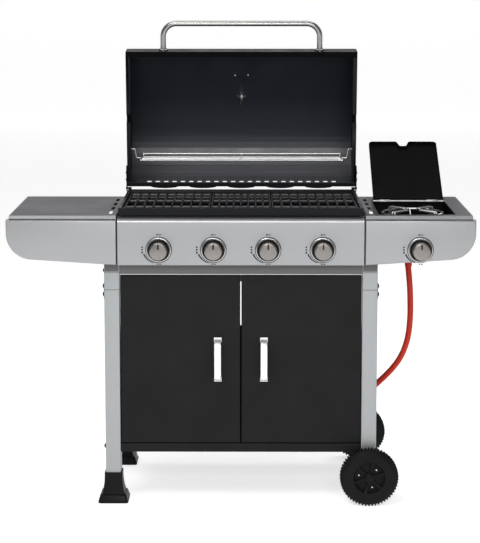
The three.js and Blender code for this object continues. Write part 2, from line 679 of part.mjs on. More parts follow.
const LID_BACK_Y = -LID_REAR;
const LID_FRONT_Y = -LID_REAR - LID_DEPTH;
const CROWN = { y: LID_BACK_Y - 88, z: LID_RIM + 108, radius: 88 };
const BROW = { y: LID_BACK_Y - 364, z: LID_RIM + 61.2, radius: 20 };
const SLOPE = 113.7;            // direction of the sloping top's outward normal

/** The lid's end outline: rear wall, round crown, straight slope and upright front. */
function lidOutline(inset, low) {
  const crown = arcPoints(CROWN.y, CROWN.z, CROWN.radius - inset, 0, SLOPE, 10);
  const brow = arcPoints(BROW.y, BROW.z, BROW.radius - inset, SLOPE, 180, 4);
  return outline([[LID_BACK_Y - inset, low], ...crown, ...brow, [LID_FRONT_Y + inset, low]]);
}

const slopeAt = (y) => {
  const normal = [Math.cos(radians(SLOPE)), Math.sin(radians(SLOPE))];
  const start = [CROWN.y + CROWN.radius * normal[0], CROWN.z + CROWN.radius * normal[1]];
  return { z: start[1] - ((y - start[0]) * normal[0]) / normal[1], normal };
};

const GAUGE_Y = LID_BACK_Y - 238;
const GAUGE_Z = slopeAt(GAUGE_Y).z;

/** The curved sheet, folded in at its two long rims, with a row of vents in the rear wall. */
function lidShell() {
  const { normal } = slopeAt(GAUGE_Y);
  const hollow = alongX(lidOutline(SHEET, LID_RIM - 1), -LID_HALF - 1, LID_HALF + 1);
  const sheet = cut(alongX(lidOutline(0, LID_RIM), -LID_HALF, LID_HALF), hollow);
  const frontFold = box(-LID_HALF, LID_HALF, LID_FRONT_Y + 1, LID_FRONT_Y + 15, LID_RIM, LID_RIM + SHEET);
  const rearFold = box(-LID_HALF, LID_HALF, LID_BACK_Y - 11, LID_BACK_Y - 1, LID_RIM, LID_RIM + SHEET);
  const vents = [];
  for (let i = -11; i <= 11; i += 1) {
    vents.push(box(24 * i - 6, 24 * i + 6, LID_BACK_Y - 3, LID_BACK_Y + 1, LID_RIM + 52, LID_RIM + 70));
  }
  const through = (reach) => [0, GAUGE_Y + reach * normal[0], GAUGE_Z + reach * normal[1]];
  return cut(join(sheet, frontFold, rearFold), ...vents, bar(through(-5), through(4), 5));
}

/** An end plate with its rim fold, spit notch, rack hole and the arm that turns on the pin. */
function lidSide(side) {
  const across = (a, b) => [Math.min(side * a, side * b), Math.max(side * a, side * b)];
  const [plate0, plate1] = across(320.6, 322.6);
  const [arm0, arm1] = across(322.5, 325);
  const fold = box(...across(311, 321), LID_FRONT_Y + 16, LID_BACK_Y - 12.5, LID_RIM, LID_RIM + 2);
  const rack = { y: LID_BACK_Y - RACK_U, z: LID_RIM + RACK_V };
  const arm = outline([...arcPoints(0, 0, 11, -90, 90, 6), ...arcPoints(-55, 0, 11, 90, 270, 6)]);
  return cut(
    join(alongX(lidOutline(0, LID_RIM), plate0, plate1), fold, alongX(arm, arm0, arm1)),
    bar([side * 305, LID_BACK_Y - 195, LID_RIM], [side * 326, LID_BACK_Y - 195, LID_RIM], 12, 16),
    bar([side * 318, 0, 0], [side * 326, 0, 0], 3.3),
    bar([side * 318, rack.y, rack.z], [side * 326, rack.y, rack.z], 3.4),
  );
}

/** A round bar handle that stands off the lid's front. */
function lidHandle() {
  const foot = LID_FRONT_Y - GAP;
  const reach = LID_FRONT_Y - 75;
  const half = 218.5;
  const bend = 37;
  const z = LID_RIM + 30;
  const left = arcPoints(-half + bend, reach + bend, bend, 180, 270, 4);
  const right = arcPoints(half - bend, reach + bend, bend, 270, 360, 4);
  const middle = [[-120, reach], [0, reach], [120, reach]];
  const route = [[-half, foot], [-half, foot - 18], ...left, ...middle, ...right, [half, foot - 18], [half, foot]];
  return tube(route.map(([x, y]) => [x, y, z]), 8, 8, 40);
}

/** Dial outside, nut and probe inside, on one stem through the sloping top. */
function thermometer() {
  const profile = [
    [0, -44], [2.5, -42], [2.5, -9], [8, -9], [8, -1.8], [4, -1.8], [4, GAP], [28, GAP], [30, 3],
    [30, 11], [27, 14], [0, 14],
  ];
  return turned(profile, 20);
}

place('lid_shell', lidShell(), BLACK, lid);
for (const [side, sign] of Object.entries(SIDES)) {
  place(`lid_side_${side}`, lidSide(sign), BLACK, lid);
}
place('lid_handle', lidHandle(), CHROME, lid);
const gauge = place('thermometer', thermometer(), CHROME, lid);
gauge.position.set(0, GAUGE_Y, GAUGE_Z);
gauge.rotation.x = radians(SLOPE);

/** A wire shelf on two cranked ends, level while the lid turns about it. */
function warmingRack() {
  const half = 293;
  const drop = -26;
  const deep = 55;
  const wire = 2.2;
  const lift = 6;
  const rods = [
    bar([-half, -deep, drop], [half, -deep, drop], wire, 6),
    bar([-half, -20, drop], [half, -20, drop], wire, 6),
    bar([-half, 17, drop], [half, 17, drop], wire, 6),
    bar([-half, deep, drop + lift], [half, deep, drop + lift], wire, 6),
    bar([0, -deep, drop - 0.5], [0, deep, drop + lift - 0.5], wire - 0.4, 6),
  ];
  for (const side of [-1, 1]) {
    const end = side * half;
    const elbow = side * 303;
    const bend = side * 308.5;
    rods.push(bar([end, -deep - 3, drop + 0.4], [end, deep + 1, drop + 0.4], wire + 0.3, 6));
    rods.push(bar([end, deep, drop - 2], [end, deep, drop + lift + 3], wire + 0.2, 6));
    rods.push(bar([end, 0.3, drop + 0.2], [elbow, 0.3, drop + 0.2], wire, 6));
    rods.push(bar([elbow, 0.3, drop - 1.5], [bend, 0.1, 1.5], wire + 0.1, 6));
    rods.push(bar([side * 307.5, 0, 0], [side * 324.5, 0, 0], wire - 0.1, 6));
  }
  return join(...rods);
}

const rackMesh = place('warming_rack', warmingRack(), CHROME, lid);
rackMesh.position.set(0, LID_BACK_Y - RACK_U, LID_RIM + RACK_V);
rackMesh.rotation.x = radians(LID_OPEN);

// ---------------------------------------------------------------- gas hose

place('gas_hose', tube(HOSE_ROUTE, HOSE_RADIUS, 8, 48), HOSE_RED, grill);

/** A round regulator that lies on the shelf, with the hose nut behind and the bottle nut beside it. */
function regulator() {
  const [x, endY] = HOSE_ROUTE.at(-1);
  const y = 94;
  const low = SHELF_TOP + GAP;
  return join(
    bar([x, y, low], [x, y, low + 26], 28, 20),
    bar([x, y, low + 25], [x, y, low + 32], 12, 16),
    bar([x, endY - GAP, low + 9.4], [x, y, low + 9.4], 9, 6),
    bar([x - 24, y, low + 14], [x - 48, y, low + 14], 13, 12),
  );
}

place('regulator', regulator(), SATIN, grill);

// ---------------------------------------------------------------- origin

const cord = new Set(['gas_hose', 'regulator']);
const extent = new THREE.Box3();
grill.updateMatrixWorld(true);
grill.traverse((item) => {
  if (item.isMesh && !cord.has(item.name)) {
    extent.expandByObject(item, true);
  }
});
const centre = extent.getCenter(new THREE.Vector3());
grill.position.set(-centre.x, -centre.y, -extent.min.z);

export default grill;
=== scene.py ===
"""Looks of a gas barbecue grill on a two-wheeled cart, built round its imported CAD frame.

Shapes are made in millimetres in the grill's own frame: X = 0 is the middle of the control panel,
Y = 0 its front face and Z = 0 the ground. Shape.piece() moves them to the row frame in metres.
"""

import json
from math import copysign, cos, pi, radians, sin, sqrt, tan, tau

import bmesh
import bpy
from mathutils import Matrix, Vector

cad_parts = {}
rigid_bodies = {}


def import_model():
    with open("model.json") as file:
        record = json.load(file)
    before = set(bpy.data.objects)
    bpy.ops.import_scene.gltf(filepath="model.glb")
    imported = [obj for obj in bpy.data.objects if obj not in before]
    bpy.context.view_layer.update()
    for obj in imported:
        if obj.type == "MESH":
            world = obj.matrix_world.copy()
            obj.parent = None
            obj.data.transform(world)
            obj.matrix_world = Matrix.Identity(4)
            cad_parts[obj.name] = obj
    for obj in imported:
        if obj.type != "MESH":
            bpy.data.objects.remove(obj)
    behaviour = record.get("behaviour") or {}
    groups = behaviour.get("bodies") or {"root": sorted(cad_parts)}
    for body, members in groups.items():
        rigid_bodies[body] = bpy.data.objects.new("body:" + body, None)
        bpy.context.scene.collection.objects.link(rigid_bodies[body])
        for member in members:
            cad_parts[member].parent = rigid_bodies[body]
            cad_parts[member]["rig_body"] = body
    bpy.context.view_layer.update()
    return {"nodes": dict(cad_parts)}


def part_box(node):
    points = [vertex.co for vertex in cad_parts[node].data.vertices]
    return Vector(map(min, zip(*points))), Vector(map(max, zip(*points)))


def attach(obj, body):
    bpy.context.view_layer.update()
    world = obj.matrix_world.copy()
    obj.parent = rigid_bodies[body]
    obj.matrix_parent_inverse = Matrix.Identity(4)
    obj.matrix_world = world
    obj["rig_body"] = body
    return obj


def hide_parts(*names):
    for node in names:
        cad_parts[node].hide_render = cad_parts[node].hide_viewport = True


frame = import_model()

# -------- places taken from the frame

MM = 0.001
PANEL_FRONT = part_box("control_panel")[0].y
TO_ROW = Matrix.Translation((0, PANEL_FRONT, 0)) @ Matrix.Scale(MM, 4)
FROM_ROW = TO_ROW.inverted()


def at(x, y, z):
    """A point of the grill's own millimetres in the row frame."""
    return TO_ROW @ Vector((x, y, z))


def design_box(node):
    """A node's lowest and highest corners in the grill's own millimetres."""
    low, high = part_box(node)
    return FROM_ROW @ low, FROM_ROW @ high


# GAS_PIPE is (y, z), and HOSE_EXIT and SIDE_BURNER are (x, y).
CART_HALF = 319.7
CART_FRONT_Y = 50
LEG_X = 340
LEG_HALF = 20
LEG_TOP = 700
LEG_MIDDLE_Y = {"front": 68, "rear": 412}
SEAM_Z = 575
SHADE_START_Z = 620
SHADE_FULL_Z = 625
WHEEL_AXIS_Z = 77.5
PANEL_HALF = 320
KNOB_Z = 690
KNOB_X = [-213, -71, 71, 213, 466]
GAS_PIPE = (36, 662)
HOSE_EXIT = (454, 195)
SHEET = 1.5
TRAY_FOLD = 3
WELD = 1e-3
CAD_WELD = 2e-6
ROUNDING_ANGLE = radians(38)
LID_OPEN = radians(84.5)
LID_HINGE = (0, 407, 798)
LID_BACK_Y = -5
LID_FRONT_Y = -389
LID_RIM = -1
LID_SLOPE = radians(113.7)
SIDE_LID_OPEN = radians(144.5)
SIDE_LID_HINGE = (460, 281, 779)
SIDE_BURNER = (460, 160)

LID_FRAME = Matrix.Translation(LID_HINGE) @ Matrix.Rotation(-LID_OPEN, 4, "X")
SIDE_LID_FRAME = Matrix.Translation(SIDE_LID_HINGE) @ Matrix.Rotation(-SIDE_LID_OPEN, 4, "X")

# -------- objects and camera

CAMERA_PLACE = (20, -4193, 1403)
CAMERA_TILT = 7.26
CAMERA_TURN = 0.30
CAMERA_LENS = 108.66
CAMERA_SHIFT = -0.1657


def new_object(name, data):
    """An object in the scene."""
    made = bpy.data.objects.new(name, data)
    bpy.context.scene.collection.objects.link(made)
    return made


def make_camera():
    data = bpy.data.cameras.new("camera")
    data.lens = CAMERA_LENS
    data.sensor_width = 36
    data.shift_y = CAMERA_SHIFT
    camera = new_object("camera", data)
    camera.location = at(*CAMERA_PLACE)
    camera.rotation_euler = (radians(90 - CAMERA_TILT), 0, radians(CAMERA_TURN))
    bpy.context.scene.camera = camera


make_camera()

# -------- shapes


def circle(radius, count):
    """Points of a circle in the (u, v) plane."""
    steps = [tau * i / count for i in range(count)]
    return [(radius * cos(a), radius * sin(a)) for a in steps]


def rounded(x0, x1, y0, y1, radius, steps=5):
    """Points of a rectangle with round corners, counter-clockwise."""
    corners = [(x1 - radius, y1 - radius), (x0 + radius, y1 - radius),
               (x0 + radius, y0 + radius), (x1 - radius, y0 + radius)]
    points = []
    for quarter, (x, y) in enumerate(corners):
        for i in range(steps + 1):
            a = pi / 2 * (quarter + i / steps)
            points.append((x + radius * cos(a), y + radius * sin(a)))
    return points


def arc(centre, radius, start, end, steps):
    """Points of an arc, its angles in degrees."""
    angles = [radians(start + (end - start) * i / steps) for i in range(steps + 1)]
    return [(centre[0] + radius * cos(a), centre[1] + radius * sin(a)) for a in angles]


def bent(points, radius, steps=6):
    """A line of straight stretches with each inner corner turned into an arc."""
    points = [Vector(p) for p in points]
    line = [points[0]]
    for before, corner, after in zip(points, points[1:], points[2:]):
        back = (before - corner).normalized()
        on = (after - corner).normalized()
        half = back.angle(on) / 2
        centre = corner + (back + on).normalized() * radius / sin(half)
        start = corner + back * radius / tan(half) - centre
        end = corner + on * radius / tan(half) - centre
        turn = pi - 2 * half
        for i in range(steps + 1):
            a = turn * i / steps
            line.append(centre + (start * sin(turn - a) + end * sin(a)) / sin(turn))
    line.append(points[-1])
    return line


def smooth(points, step):
    """A centripetal Catmull-Rom line through the points, sampled about every step."""
    points = [Vector(p) for p in points]
    points = [2 * points[0] - points[1]] + points + [2 * points[-1] - points[-2]]
    line = []
    for a, b, c, d in zip(points, points[1:], points[2:], points[3:]):
        t1 = sqrt((b - a).length)
        t2 = t1 + sqrt((c - b).length)
        t3 = t2 + sqrt((d - c).length)
        count = max(1, round((c - b).length / step))
        for i in range(count):
            t = t1 + (t2 - t1) * i / count
            ab = a.lerp(b, t / t1)
            bc = b.lerp(c, (t - t1) / (t2 - t1))
            cd = c.lerp(d, (t - t2) / (t3 - t2))
            line.append(ab.lerp(bc, t / t2).lerp(bc.lerp(cd, (t - t1) / (t3 - t1)), (t - t1) / (t2 - t1)))
    return line + [points[-2]]


def sheet_outline(line, thickness):
    """The closed outline of a sheet whose outer face is a flat (u, v) line; it thickens to the left."""
    line = [Vector(p) for p in line]
    inner = []
    for i, point in enumerate(line):
        before = (point - line[i - 1]).normalized() if i else (line[1] - point).normalized()
        after = (line[i + 1] - point).normalized() if i < len(line) - 1 else before
        along = (before + after).normalized()
        left = Vector((-along.y, along.x))
        inner.append(point + left * thickness / max(0.3, along.dot(before)))
    return line + inner[::-1]


def tray_outline(x0, x1, y0, y1):
    """A rectangle with rounded corners that Shape.pan can draw in by an inset."""
    return lambda inset: rounded(x0 + inset, x1 - inset, y0 + inset, y1 - inset, 3.2 - 0.8 * inset)


def as_object(mesh, name):
    """A new object that holds a finished bmesh."""
    data = bpy.data.meshes.new(name)
    mesh.to_mesh(data)
    mesh.free()
    return new_object(name, data)


class Shape:
    """A mesh in the making, in the grill's own millimetres."""

    def __init__(self, place=None):
        self.mesh = bmesh.new()
        self.place = place or Matrix.Identity(4)

    def loft(self, rings, closed=False):
        """Skin rings of points in order; the two ends are capped unless the last ring meets the first."""
        rows = [[self.mesh.verts.new(self.place @ Vector(p)) for p in ring] for ring in rings]
        faces = []
        pairs = list(zip(rows, rows[1:]))
        if closed:
            pairs.append((rows[-1], rows[0]))
        for low, high in pairs:
            for i in range(len(low)):
                j = (i + 1) % len(low)
                faces.append(self.mesh.faces.new((low[i], low[j], high[j], high[i])))
        if not closed:
            faces.append(self.mesh.faces.new(rows[0][::-1]))
            faces.append(self.mesh.faces.new(rows[-1]))
        self.settle(rows, faces)
        return self

    def settle(self, rows, faces):
        """Merge points that meet and turn the new faces outwards."""
        verts = [v for row in rows for v in row]
        bmesh.ops.remove_doubles(self.mesh, verts=verts, dist=WELD)
        faces = [f for f in faces if f.is_valid]
        bmesh.ops.recalc_face_normals(self.mesh, faces=faces)

    def prism(self, outline, axis, start, end, bevel=0.0):
        """Extrude a flat outline along an axis: (y, z) along x, (x, z) along y or (x, y) along z."""
        def lift(points, height):
            if axis == "x":
                return [(height, u, v) for u, v in points]
            if axis == "y":
                return [(u, height, v) for u, v in points]
            return [(u, v, height) for u, v in points]

        first = len(self.mesh.faces)
        self.loft([lift(outline, start), lift(outline, end)])
        if bevel:
            self.soften(first, bevel)
        return self

    def soften(self, first, width, angle=30.0):
        """Round the sharp edges of the faces from first on."""
        self.mesh.faces.ensure_lookup_table()
        edges = {e for f in self.mesh.faces[first:] for e in f.edges}
        sharp = [e for e in edges if len(e.link_faces) == 2 and e.calc_face_angle() > radians(angle)]
        bmesh.ops.bevel(self.mesh, geom=sharp, offset=width, segments=2, profile=0.5,
                        affect="EDGES", clamp_overlap=True)

    def box(self, x0, x1, y0, y1, z0, z1, bevel):
        return self.prism([(x0, y0), (x1, y0), (x1, y1), (x0, y1)], "z", z0, z1, bevel)

    def turned(self, profile, centre, axis="y", segments=48, sense=1):
        """Turn [radius, height] pairs about an axis through centre; sense = -1 turns the heights round."""
        centre = Vector(centre)
        rings = []
        for radius, height in profile:
            ring = []
            rise = height * sense
            for u, v in circle(max(radius, 0.0), segments):
                offset = {"x": (rise, u, v), "y": (u, rise, v), "z": (u, v, rise)}
                ring.append(centre + Vector(offset[axis]))
            rings.append(ring)
        return self.loft(rings, closed=profile[0][0] > 0)

    def sweep(self, path, section):
        """Carry a flat (u, v) section along a path without twist, and cap its ends."""
        path = [Vector(p) for p in path]
        tangent = (path[1] - path[0]).normalized()
        side = tangent.cross(Vector((0, 0, 1)))
        if side.length < 1e-3:
            side = tangent.cross(Vector((0, 1, 0)))
        side.normalize()
        rings = []
        for i, point in enumerate(path):
            ahead = path[min(i + 1, len(path) - 1)] - path[max(i - 1, 0)]
            turn = tangent.rotation_difference(ahead.normalized())
            side = turn @ side
            tangent = ahead.normalized()
            up = side.cross(tangent)
            rings.append([point + side * u + up * v for u, v in section])
        return self.loft(rings)

    def wire(self, path, radius, sides=12):
        return self.sweep(path, circle(radius, sides))

    def pan(self, outline, depth, radius, lift, sheet=SHEET, steps=4):
        """A folded tray: outline(inset) is its flat shape, lift(u, v, depth) a point behind its face."""
        angles = [pi / 2 * i / steps for i in range(steps + 1)]
        outer = [(radius * (1 - sin(a)), radius * (1 - cos(a))) for a in angles]
        inner_radius = radius - sheet
        inner = [(sheet + inner_radius * (1 - sin(a)), sheet + inner_radius * (1 - cos(a)))
                 for a in reversed(angles)]
        levels = outer + [(0, depth - 0.3), (0.3, depth), (sheet - 0.3, depth), (sheet, depth - 0.3)] + inner
        return self.loft([[lift(u, v, d) for u, v in outline(inset)] for inset, d in levels])

    def piece(self, name, body, look, stands_for=(), angle=35.0):
        """Make the object, in the row frame, riding on its body."""
        bmesh.ops.transform(self.mesh, matrix=TO_ROW, verts=self.mesh.verts)
        return dress(as_object(self.mesh, name), body, look, stands_for, angle)


def dress(piece, body, look, stands_for=(), angle=35.0):
    """Shade a piece, give it its material and ride it on its body."""
    piece.data.shade_smooth()
    piece.data.set_sharp_from_angle(angle=radians(angle))
    piece.data.materials.clear()
    piece.data.materials.append(MATERIALS[look])
    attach(piece, body)
    if stands_for:
        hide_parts(*stands_for)
    return piece


def refined(node, look, bevel=0.5):
    """A CAD node's own shape with its facets joined and its edges rounded."""
    source = frame["nodes"][node]
    mesh = bmesh.new()
    mesh.from_mesh(source.data)
    bmesh.ops.remove_doubles(mesh, verts=mesh.verts, dist=CAD_WELD)
    piece = dress(as_object(mesh, node + "_skin"), source["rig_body"], look, [node])
    if bevel:
        rounding = piece.modifiers.new("rounding", "BEVEL")
        rounding.width = bevel * MM
        rounding.segments = 2
        rounding.limit_method = "ANGLE"
        rounding.angle_limit = ROUNDING_ANGLE
        rounding.use_clamp_overlap = False
        rounding.harden_normals = True
    return piece


def second_look(piece, look, chosen):
    """Give another look to the faces that chosen(centre, normal) picks, in the grill's own millimetres."""
    data = piece.data
    data.materials.append(MATERIALS[look])
    slot = len(data.materials) - 1
    for face in data.polygons:
        if chosen(FROM_ROW @ face.center, face.normal):
            face.material_index = slot


# -------- materials

MATERIALS = {}
NOISE_SPAN = (0.3, 0.7)


class Nodes:
    """A material's node tree, with short ways to add to it."""

    def __init__(self, name):
        material = bpy.data.materials.new(name)
        material.use_nodes = True
        MATERIALS[name] = material
        self.tree = material.node_tree
        self.shader = self.tree.nodes["Principled BSDF"]
        self.coordinates = self.node("TexCoord").outputs["Object"]

    def node(self, kind):
        return self.tree.nodes.new("ShaderNode" + kind)

    def link(self, source, target):
        self.tree.links.new(source, target)

    def noise(self, scale, detail=3.0, stretch=(1, 1, 1), roughness=0.5):
        """Noise of about scale features a metre, stretched along the axes."""
        mapping = self.node("Mapping")
        mapping.inputs["Scale"].default_value = stretch
        self.link(self.coordinates, mapping.inputs["Vector"])
        noise = self.node("TexNoise")
        noise.inputs["Scale"].default_value = scale
        noise.inputs["Detail"].default_value = detail
        noise.inputs["Roughness"].default_value = roughness
        self.link(mapping.outputs["Vector"], noise.inputs["Vector"])
        return noise.outputs["Fac"]

    def ramp(self, source, low, high):
        """Colours or greys between two values, over the span that noise mostly fills."""
        ramp = self.node("ValToRGB")
        for element, place, value in zip(ramp.color_ramp.elements, NOISE_SPAN, (low, high)):
            element.position = place
            element.color = (*value, 1) if isinstance(value, tuple) else (value, value, value, 1)
        self.link(source, ramp.inputs["Fac"])
        return ramp.outputs["Color"]

    def remap(self, source, start, end, low=0.0, high=1.0):
        """Stretch start..end to low..high, and hold the values beyond."""
        node = self.node("MapRange")
        for socket, value in (("From Min", start), ("From Max", end), ("To Min", low), ("To Max", high)):
            node.inputs[socket].default_value = value
        self.link(source, node.inputs["Value"])
        return node.outputs["Result"]

    def maths(self, kind, operation, *sources):
        """The result of a maths node that takes the sources in order."""
        node = self.node(kind)
        node.operation = operation
        for source, socket in zip(sources, node.inputs):
            self.link(source, socket)
        return node.outputs[0]

    def colour(self, source, low, high):
        self.link(self.ramp(source, low, high), self.shader.inputs["Base Color"])

    def roughness(self, source, low, high):
        self.link(self.remap(source, *NOISE_SPAN, low, high), self.shader.inputs["Roughness"])

    def bump(self, *layers):
        """Bumps from (noise, height in metres) pairs, one on another."""
        normal = None
        for source, height in layers:
            bump = self.node("Bump")
            bump.inputs["Distance"].default_value = height
            bump.inputs["Strength"].default_value = 1.0
            self.link(source, bump.inputs["Height"])
            if normal:
                self.link(normal, bump.inputs["Normal"])
            normal = bump.outputs["Normal"]
        self.link(normal, self.shader.inputs["Normal"])

    def set(self, **values):
        for name, value in values.items():
            self.shader.inputs[name.replace("_", " ")].default_value = value


def scaled(colour, factor):
    return tuple(channel * factor for channel in colour)


def brushed_metal(name, colour, metallic, roughness, grain, contrast, depth):
    """Metal with fine scratches that run along the stretched axis, and soft clouds of tone."""
    look = Nodes(name)
    scratches = look.noise(900, 2.0, grain, 0.6)
    clouds = look.noise(7, 3.0)
    look.colour(scratches, scaled(colour, 1 - contrast), scaled(colour, 1 + contrast))
    look.roughness(clouds, roughness - 0.04, roughness + 0.05)
    look.bump((scratches, depth))
    look.set(Metallic=metallic)
    return look


def coated(name, colour, roughness, peel_scale, peel, spread=0.12, gloss=0.5, metallic=0.0):
    """A coat of paint or enamel with orange peel and faint clouds of tone and gloss."""
    look = Nodes(name)
    look.colour(look.noise(9, 4.0), scaled(colour, 1 - spread), scaled(colour, 1 + spread))
    look.roughness(look.noise(23, 4.0), roughness - 0.05, roughness + 0.06)
    look.bump((look.noise(peel_scale, 2.0), peel))
    look.set(Specular_IOR_Level=gloss, Metallic=metallic)
    return look


def lining(name, levels):
    """Enamel with painted light and shade from (height in metres, colour) levels, under faint level streaks,
    and painted shade that darkens it towards the sides.
    """
    look = coated(name, levels[-1][1], 0.36, 350, 1e-5, gloss=0.35)
    split = look.node("SeparateXYZ")
    look.link(look.coordinates, split.inputs["Vector"])
    low, high = levels[0][0], levels[-1][0]
    ramp = look.node("ValToRGB")
    while len(ramp.color_ramp.elements) < len(levels):
        ramp.color_ramp.elements.new(0.5)
    for element, (height, colour) in zip(ramp.color_ramp.elements, levels):
        element.position = (height - low) / (high - low)
        element.color = (*colour, 1)
    look.link(look.remap(split.outputs["Z"], low, high), ramp.inputs["Fac"])
    streaks = look.ramp(look.noise(160, 2.0, (0.03, 1, 1)), 0.93, 1.07)
    streaked = look.maths("VectorMath", "MULTIPLY", ramp.outputs["Color"], streaks)
    aside = look.maths("Math", "ABSOLUTE", split.outputs["X"])
    side_shade = look.remap(aside, SIDE_SHADE_START, SIDE_SHADE_END, 1.0, SIDE_SHADE_TONE)
    look.link(look.maths("VectorMath", "MULTIPLY", streaked, side_shade), look.shader.inputs["Base Color"])


ALONG_X = (0.02, 1, 1)
ALONG_Y = (1, 0.02, 1)
UPRIGHT = (1, 1, 0.02)

# colour, metallic, roughness, grain, contrast and depth in metres of the scratches
BRUSHED = {
    "steel_panel": ((0.345, 0.35, 0.36), 0.7, 0.40, ALONG_X, 0.02, 4e-7),
    # Painted highlight: lighter steel on bends that face the light, the panel's brow and the rails' lower
    # bends.
    "painted_highlight_steel": ((0.62, 0.62, 0.625), 0.7, 0.36, ALONG_X, 0.03, 4e-7),
    # Painted reflection of the firebox's dark lip on the panel's slope: a mid strip at the front and a dark
    # strip behind it.
    "painted_lip_reflection": ((0.22, 0.22, 0.225), 0.7, 0.38, ALONG_X, 0.03, 4e-7),
    "shaded_steel": ((0.098, 0.097, 0.104), 0.8, 0.38, ALONG_X, 0.03, 4e-7),
    # Painted shade: darkened steel for the rails, as under the panel's overhang.
    "shaded_rail_steel": ((0.112, 0.112, 0.115), 0.6, 0.42, ALONG_X, 0.03, 4e-7),
    # Painted shade on the front legs' front faces under the panel: a half-shaded band, then the shaded part.
    "leg_half_shaded": ((0.22, 0.225, 0.23), 0.5, 0.42, UPRIGHT, 0.02, 4e-7),
    "leg_shaded": ((0.105, 0.105, 0.108), 0.5, 0.42, UPRIGHT, 0.02, 4e-7),
    "leg_steel": ((0.355, 0.365, 0.375), 0.5, 0.42, UPRIGHT, 0.02, 4e-7),
    "table_steel": ((0.19, 0.189, 0.196), 0.9, 0.36, ALONG_X, 0.16, 2e-6),
    "dark_steel": ((0.035, 0.033, 0.032), 0.5, 0.45, ALONG_Y, 0.2, 2e-6),
    "inner_steel": ((0.42, 0.41, 0.40), 0.9, 0.35, ALONG_Y, 0.15, 2e-6),
}

# colour, roughness, scale and height in metres of the orange peel, spread of tone, gloss and metallic
COATED = {
    "black_sheet": ((0.0085, 0.0085, 0.0093), 0.52, 900, 2e-5, 0.12, 0.14),
    "black_enamel": ((0.0065, 0.0070, 0.0092), 0.40, 350, 1e-5, 0.12, 0.13),
    "lid_enamel": ((0.0070, 0.0080, 0.0105), 0.36, 350, 1e-5, 0.12, 0.20),
    "lid_black": ((0.0042, 0.0042, 0.0047), 0.36, 900, 1e-5, 0.12, 0.01),
    "cast_iron": ((0.0034, 0.0034, 0.0046), 0.42, 420, 1.0e-4, 0.3, 0.12),
    # Painted highlights on the grates: brighter on the ribs' upper faces, dull on the bars' tops.
    "rib_highlight_iron": ((0.0480, 0.0485, 0.0530), 0.34, 420, 6e-5, 0.3, 0.5),
    "dull_highlight_iron": ((0.0190, 0.0195, 0.0230), 0.38, 420, 6e-5, 0.3, 0.4),
    "chrome": ((0.78, 0.78, 0.77), 0.12, 500, 2e-6, 0.03, 0.5, 1.0),
    "rack_wire": ((0.76, 0.76, 0.75), 0.34, 500, 1e-6, 0.02, 0.5, 0.8),
    "bezel": ((0.52, 0.52, 0.52), 0.30, 500, 1e-6, 0.02, 0.5, 1.0),
    "handle_steel": ((0.30, 0.297, 0.290), 0.22, 700, 1e-7, 0.03, 0.5, 1.0),
    "black_plastic": ((0.0050, 0.0050, 0.0057), 0.42, 1500, 3e-5, 0.12, 0.13),
    "wheel_black": ((0.0058, 0.0058, 0.0064), 0.6, 800, 6e-5, 0.2, 0.13),
    "knob_nickel": ((0.25, 0.234, 0.222), 0.30, 1500, 3e-6, 0.04, 0.5, 1.0),
    "brass": ((0.60, 0.42, 0.17), 0.34, 600, 2e-5, 0.10, 0.5, 1.0),
    "satin_handle": ((0.86, 0.865, 0.87), 0.36, 900, 3e-6, 0.02, 0.5, 0.6),
    "regulator_body": ((0.42, 0.42, 0.43), 0.42, 500, 6e-5, 0.08, 0.5, 0.9),
    "hose_red": ((0.47, 0.030, 0.014), 0.55, 1200, 6e-5, 0.10, 0.2),
    "print_black": ((0.012, 0.012, 0.012), 0.6, 1500, 5e-6, 0.05, 0.2),
    "dial_white": ((0.72, 0.71, 0.68), 0.4, 900, 5e-6, 0.03),
    "dial_red": ((0.50, 0.02, 0.015), 0.4, 900, 5e-6, 0.05),
    "floor": ((0.86, 0.86, 0.86), 0.8, 60, 1e-5, 0.01, 0.1),
}

# Painted shade on the lid's lining towards the side plates.
SIDE_SHADE_START = 0.18
SIDE_SHADE_END = 0.32
SIDE_SHADE_TONE = 0.82
# Painted light and shade on the lid's lining by height: lighter low down, darkest at the top.
LINING_LIGHT_LEVELS = [
    (0.80, (0.075, 0.076, 0.084)), (0.835, (0.120, 0.122, 0.134)), (0.865, (0.118, 0.120, 0.134)),
    (0.90, (0.074, 0.076, 0.088)), (0.93, (0.050, 0.052, 0.063)), (0.96, (0.035, 0.037, 0.047)),
    (1.04, (0.0150, 0.0172, 0.025)), (1.13, (0.0098, 0.0122, 0.0180)),
]


def make_materials():
    looks = {name: brushed_metal(name, *values) for name, values in BRUSHED.items()}
    looks |= {name: coated(name, *values) for name, values in COATED.items()}
    lining("lid_lining_painted_light", LINING_LIGHT_LEVELS)
    looks["table_steel"].set(Specular_Tint=(0.55, 0.545, 0.57, 1))
    looks["floor"].set(Emission_Color=(1, 1, 1, 1), Emission_Strength=0.6)


make_materials()

# -------- gas hose

HOSE_RADIUS = 8
HOSE_SIDES = 36
HOSE_ROUTE = [
    (*HOSE_EXIT, 631.5), (*HOSE_EXIT, 610), (457, 196, 580), (459.5, 197, 550), (461, 198, 515),
    (461.5, 200, 480), (460, 203, 445), (456, 207, 412), (448.5, 212, 382), (437, 217, 354),
    (421.5, 222, 329), (402.5, 227, 305.5), (381, 231, 283), (358, 235, 260.5), (335, 239, 238),
    (311, 242, 215.5), (286, 243.5, 195.5), (259, 243, 180), (231, 239, 170.5), (203, 229.5, 167.8),
    (179, 213, 167.8), (161.5, 191, 167.8), (152.5, 168, 167.8), (150.5, 150, 167.8),
    (150.5, 134, 167.8),
]


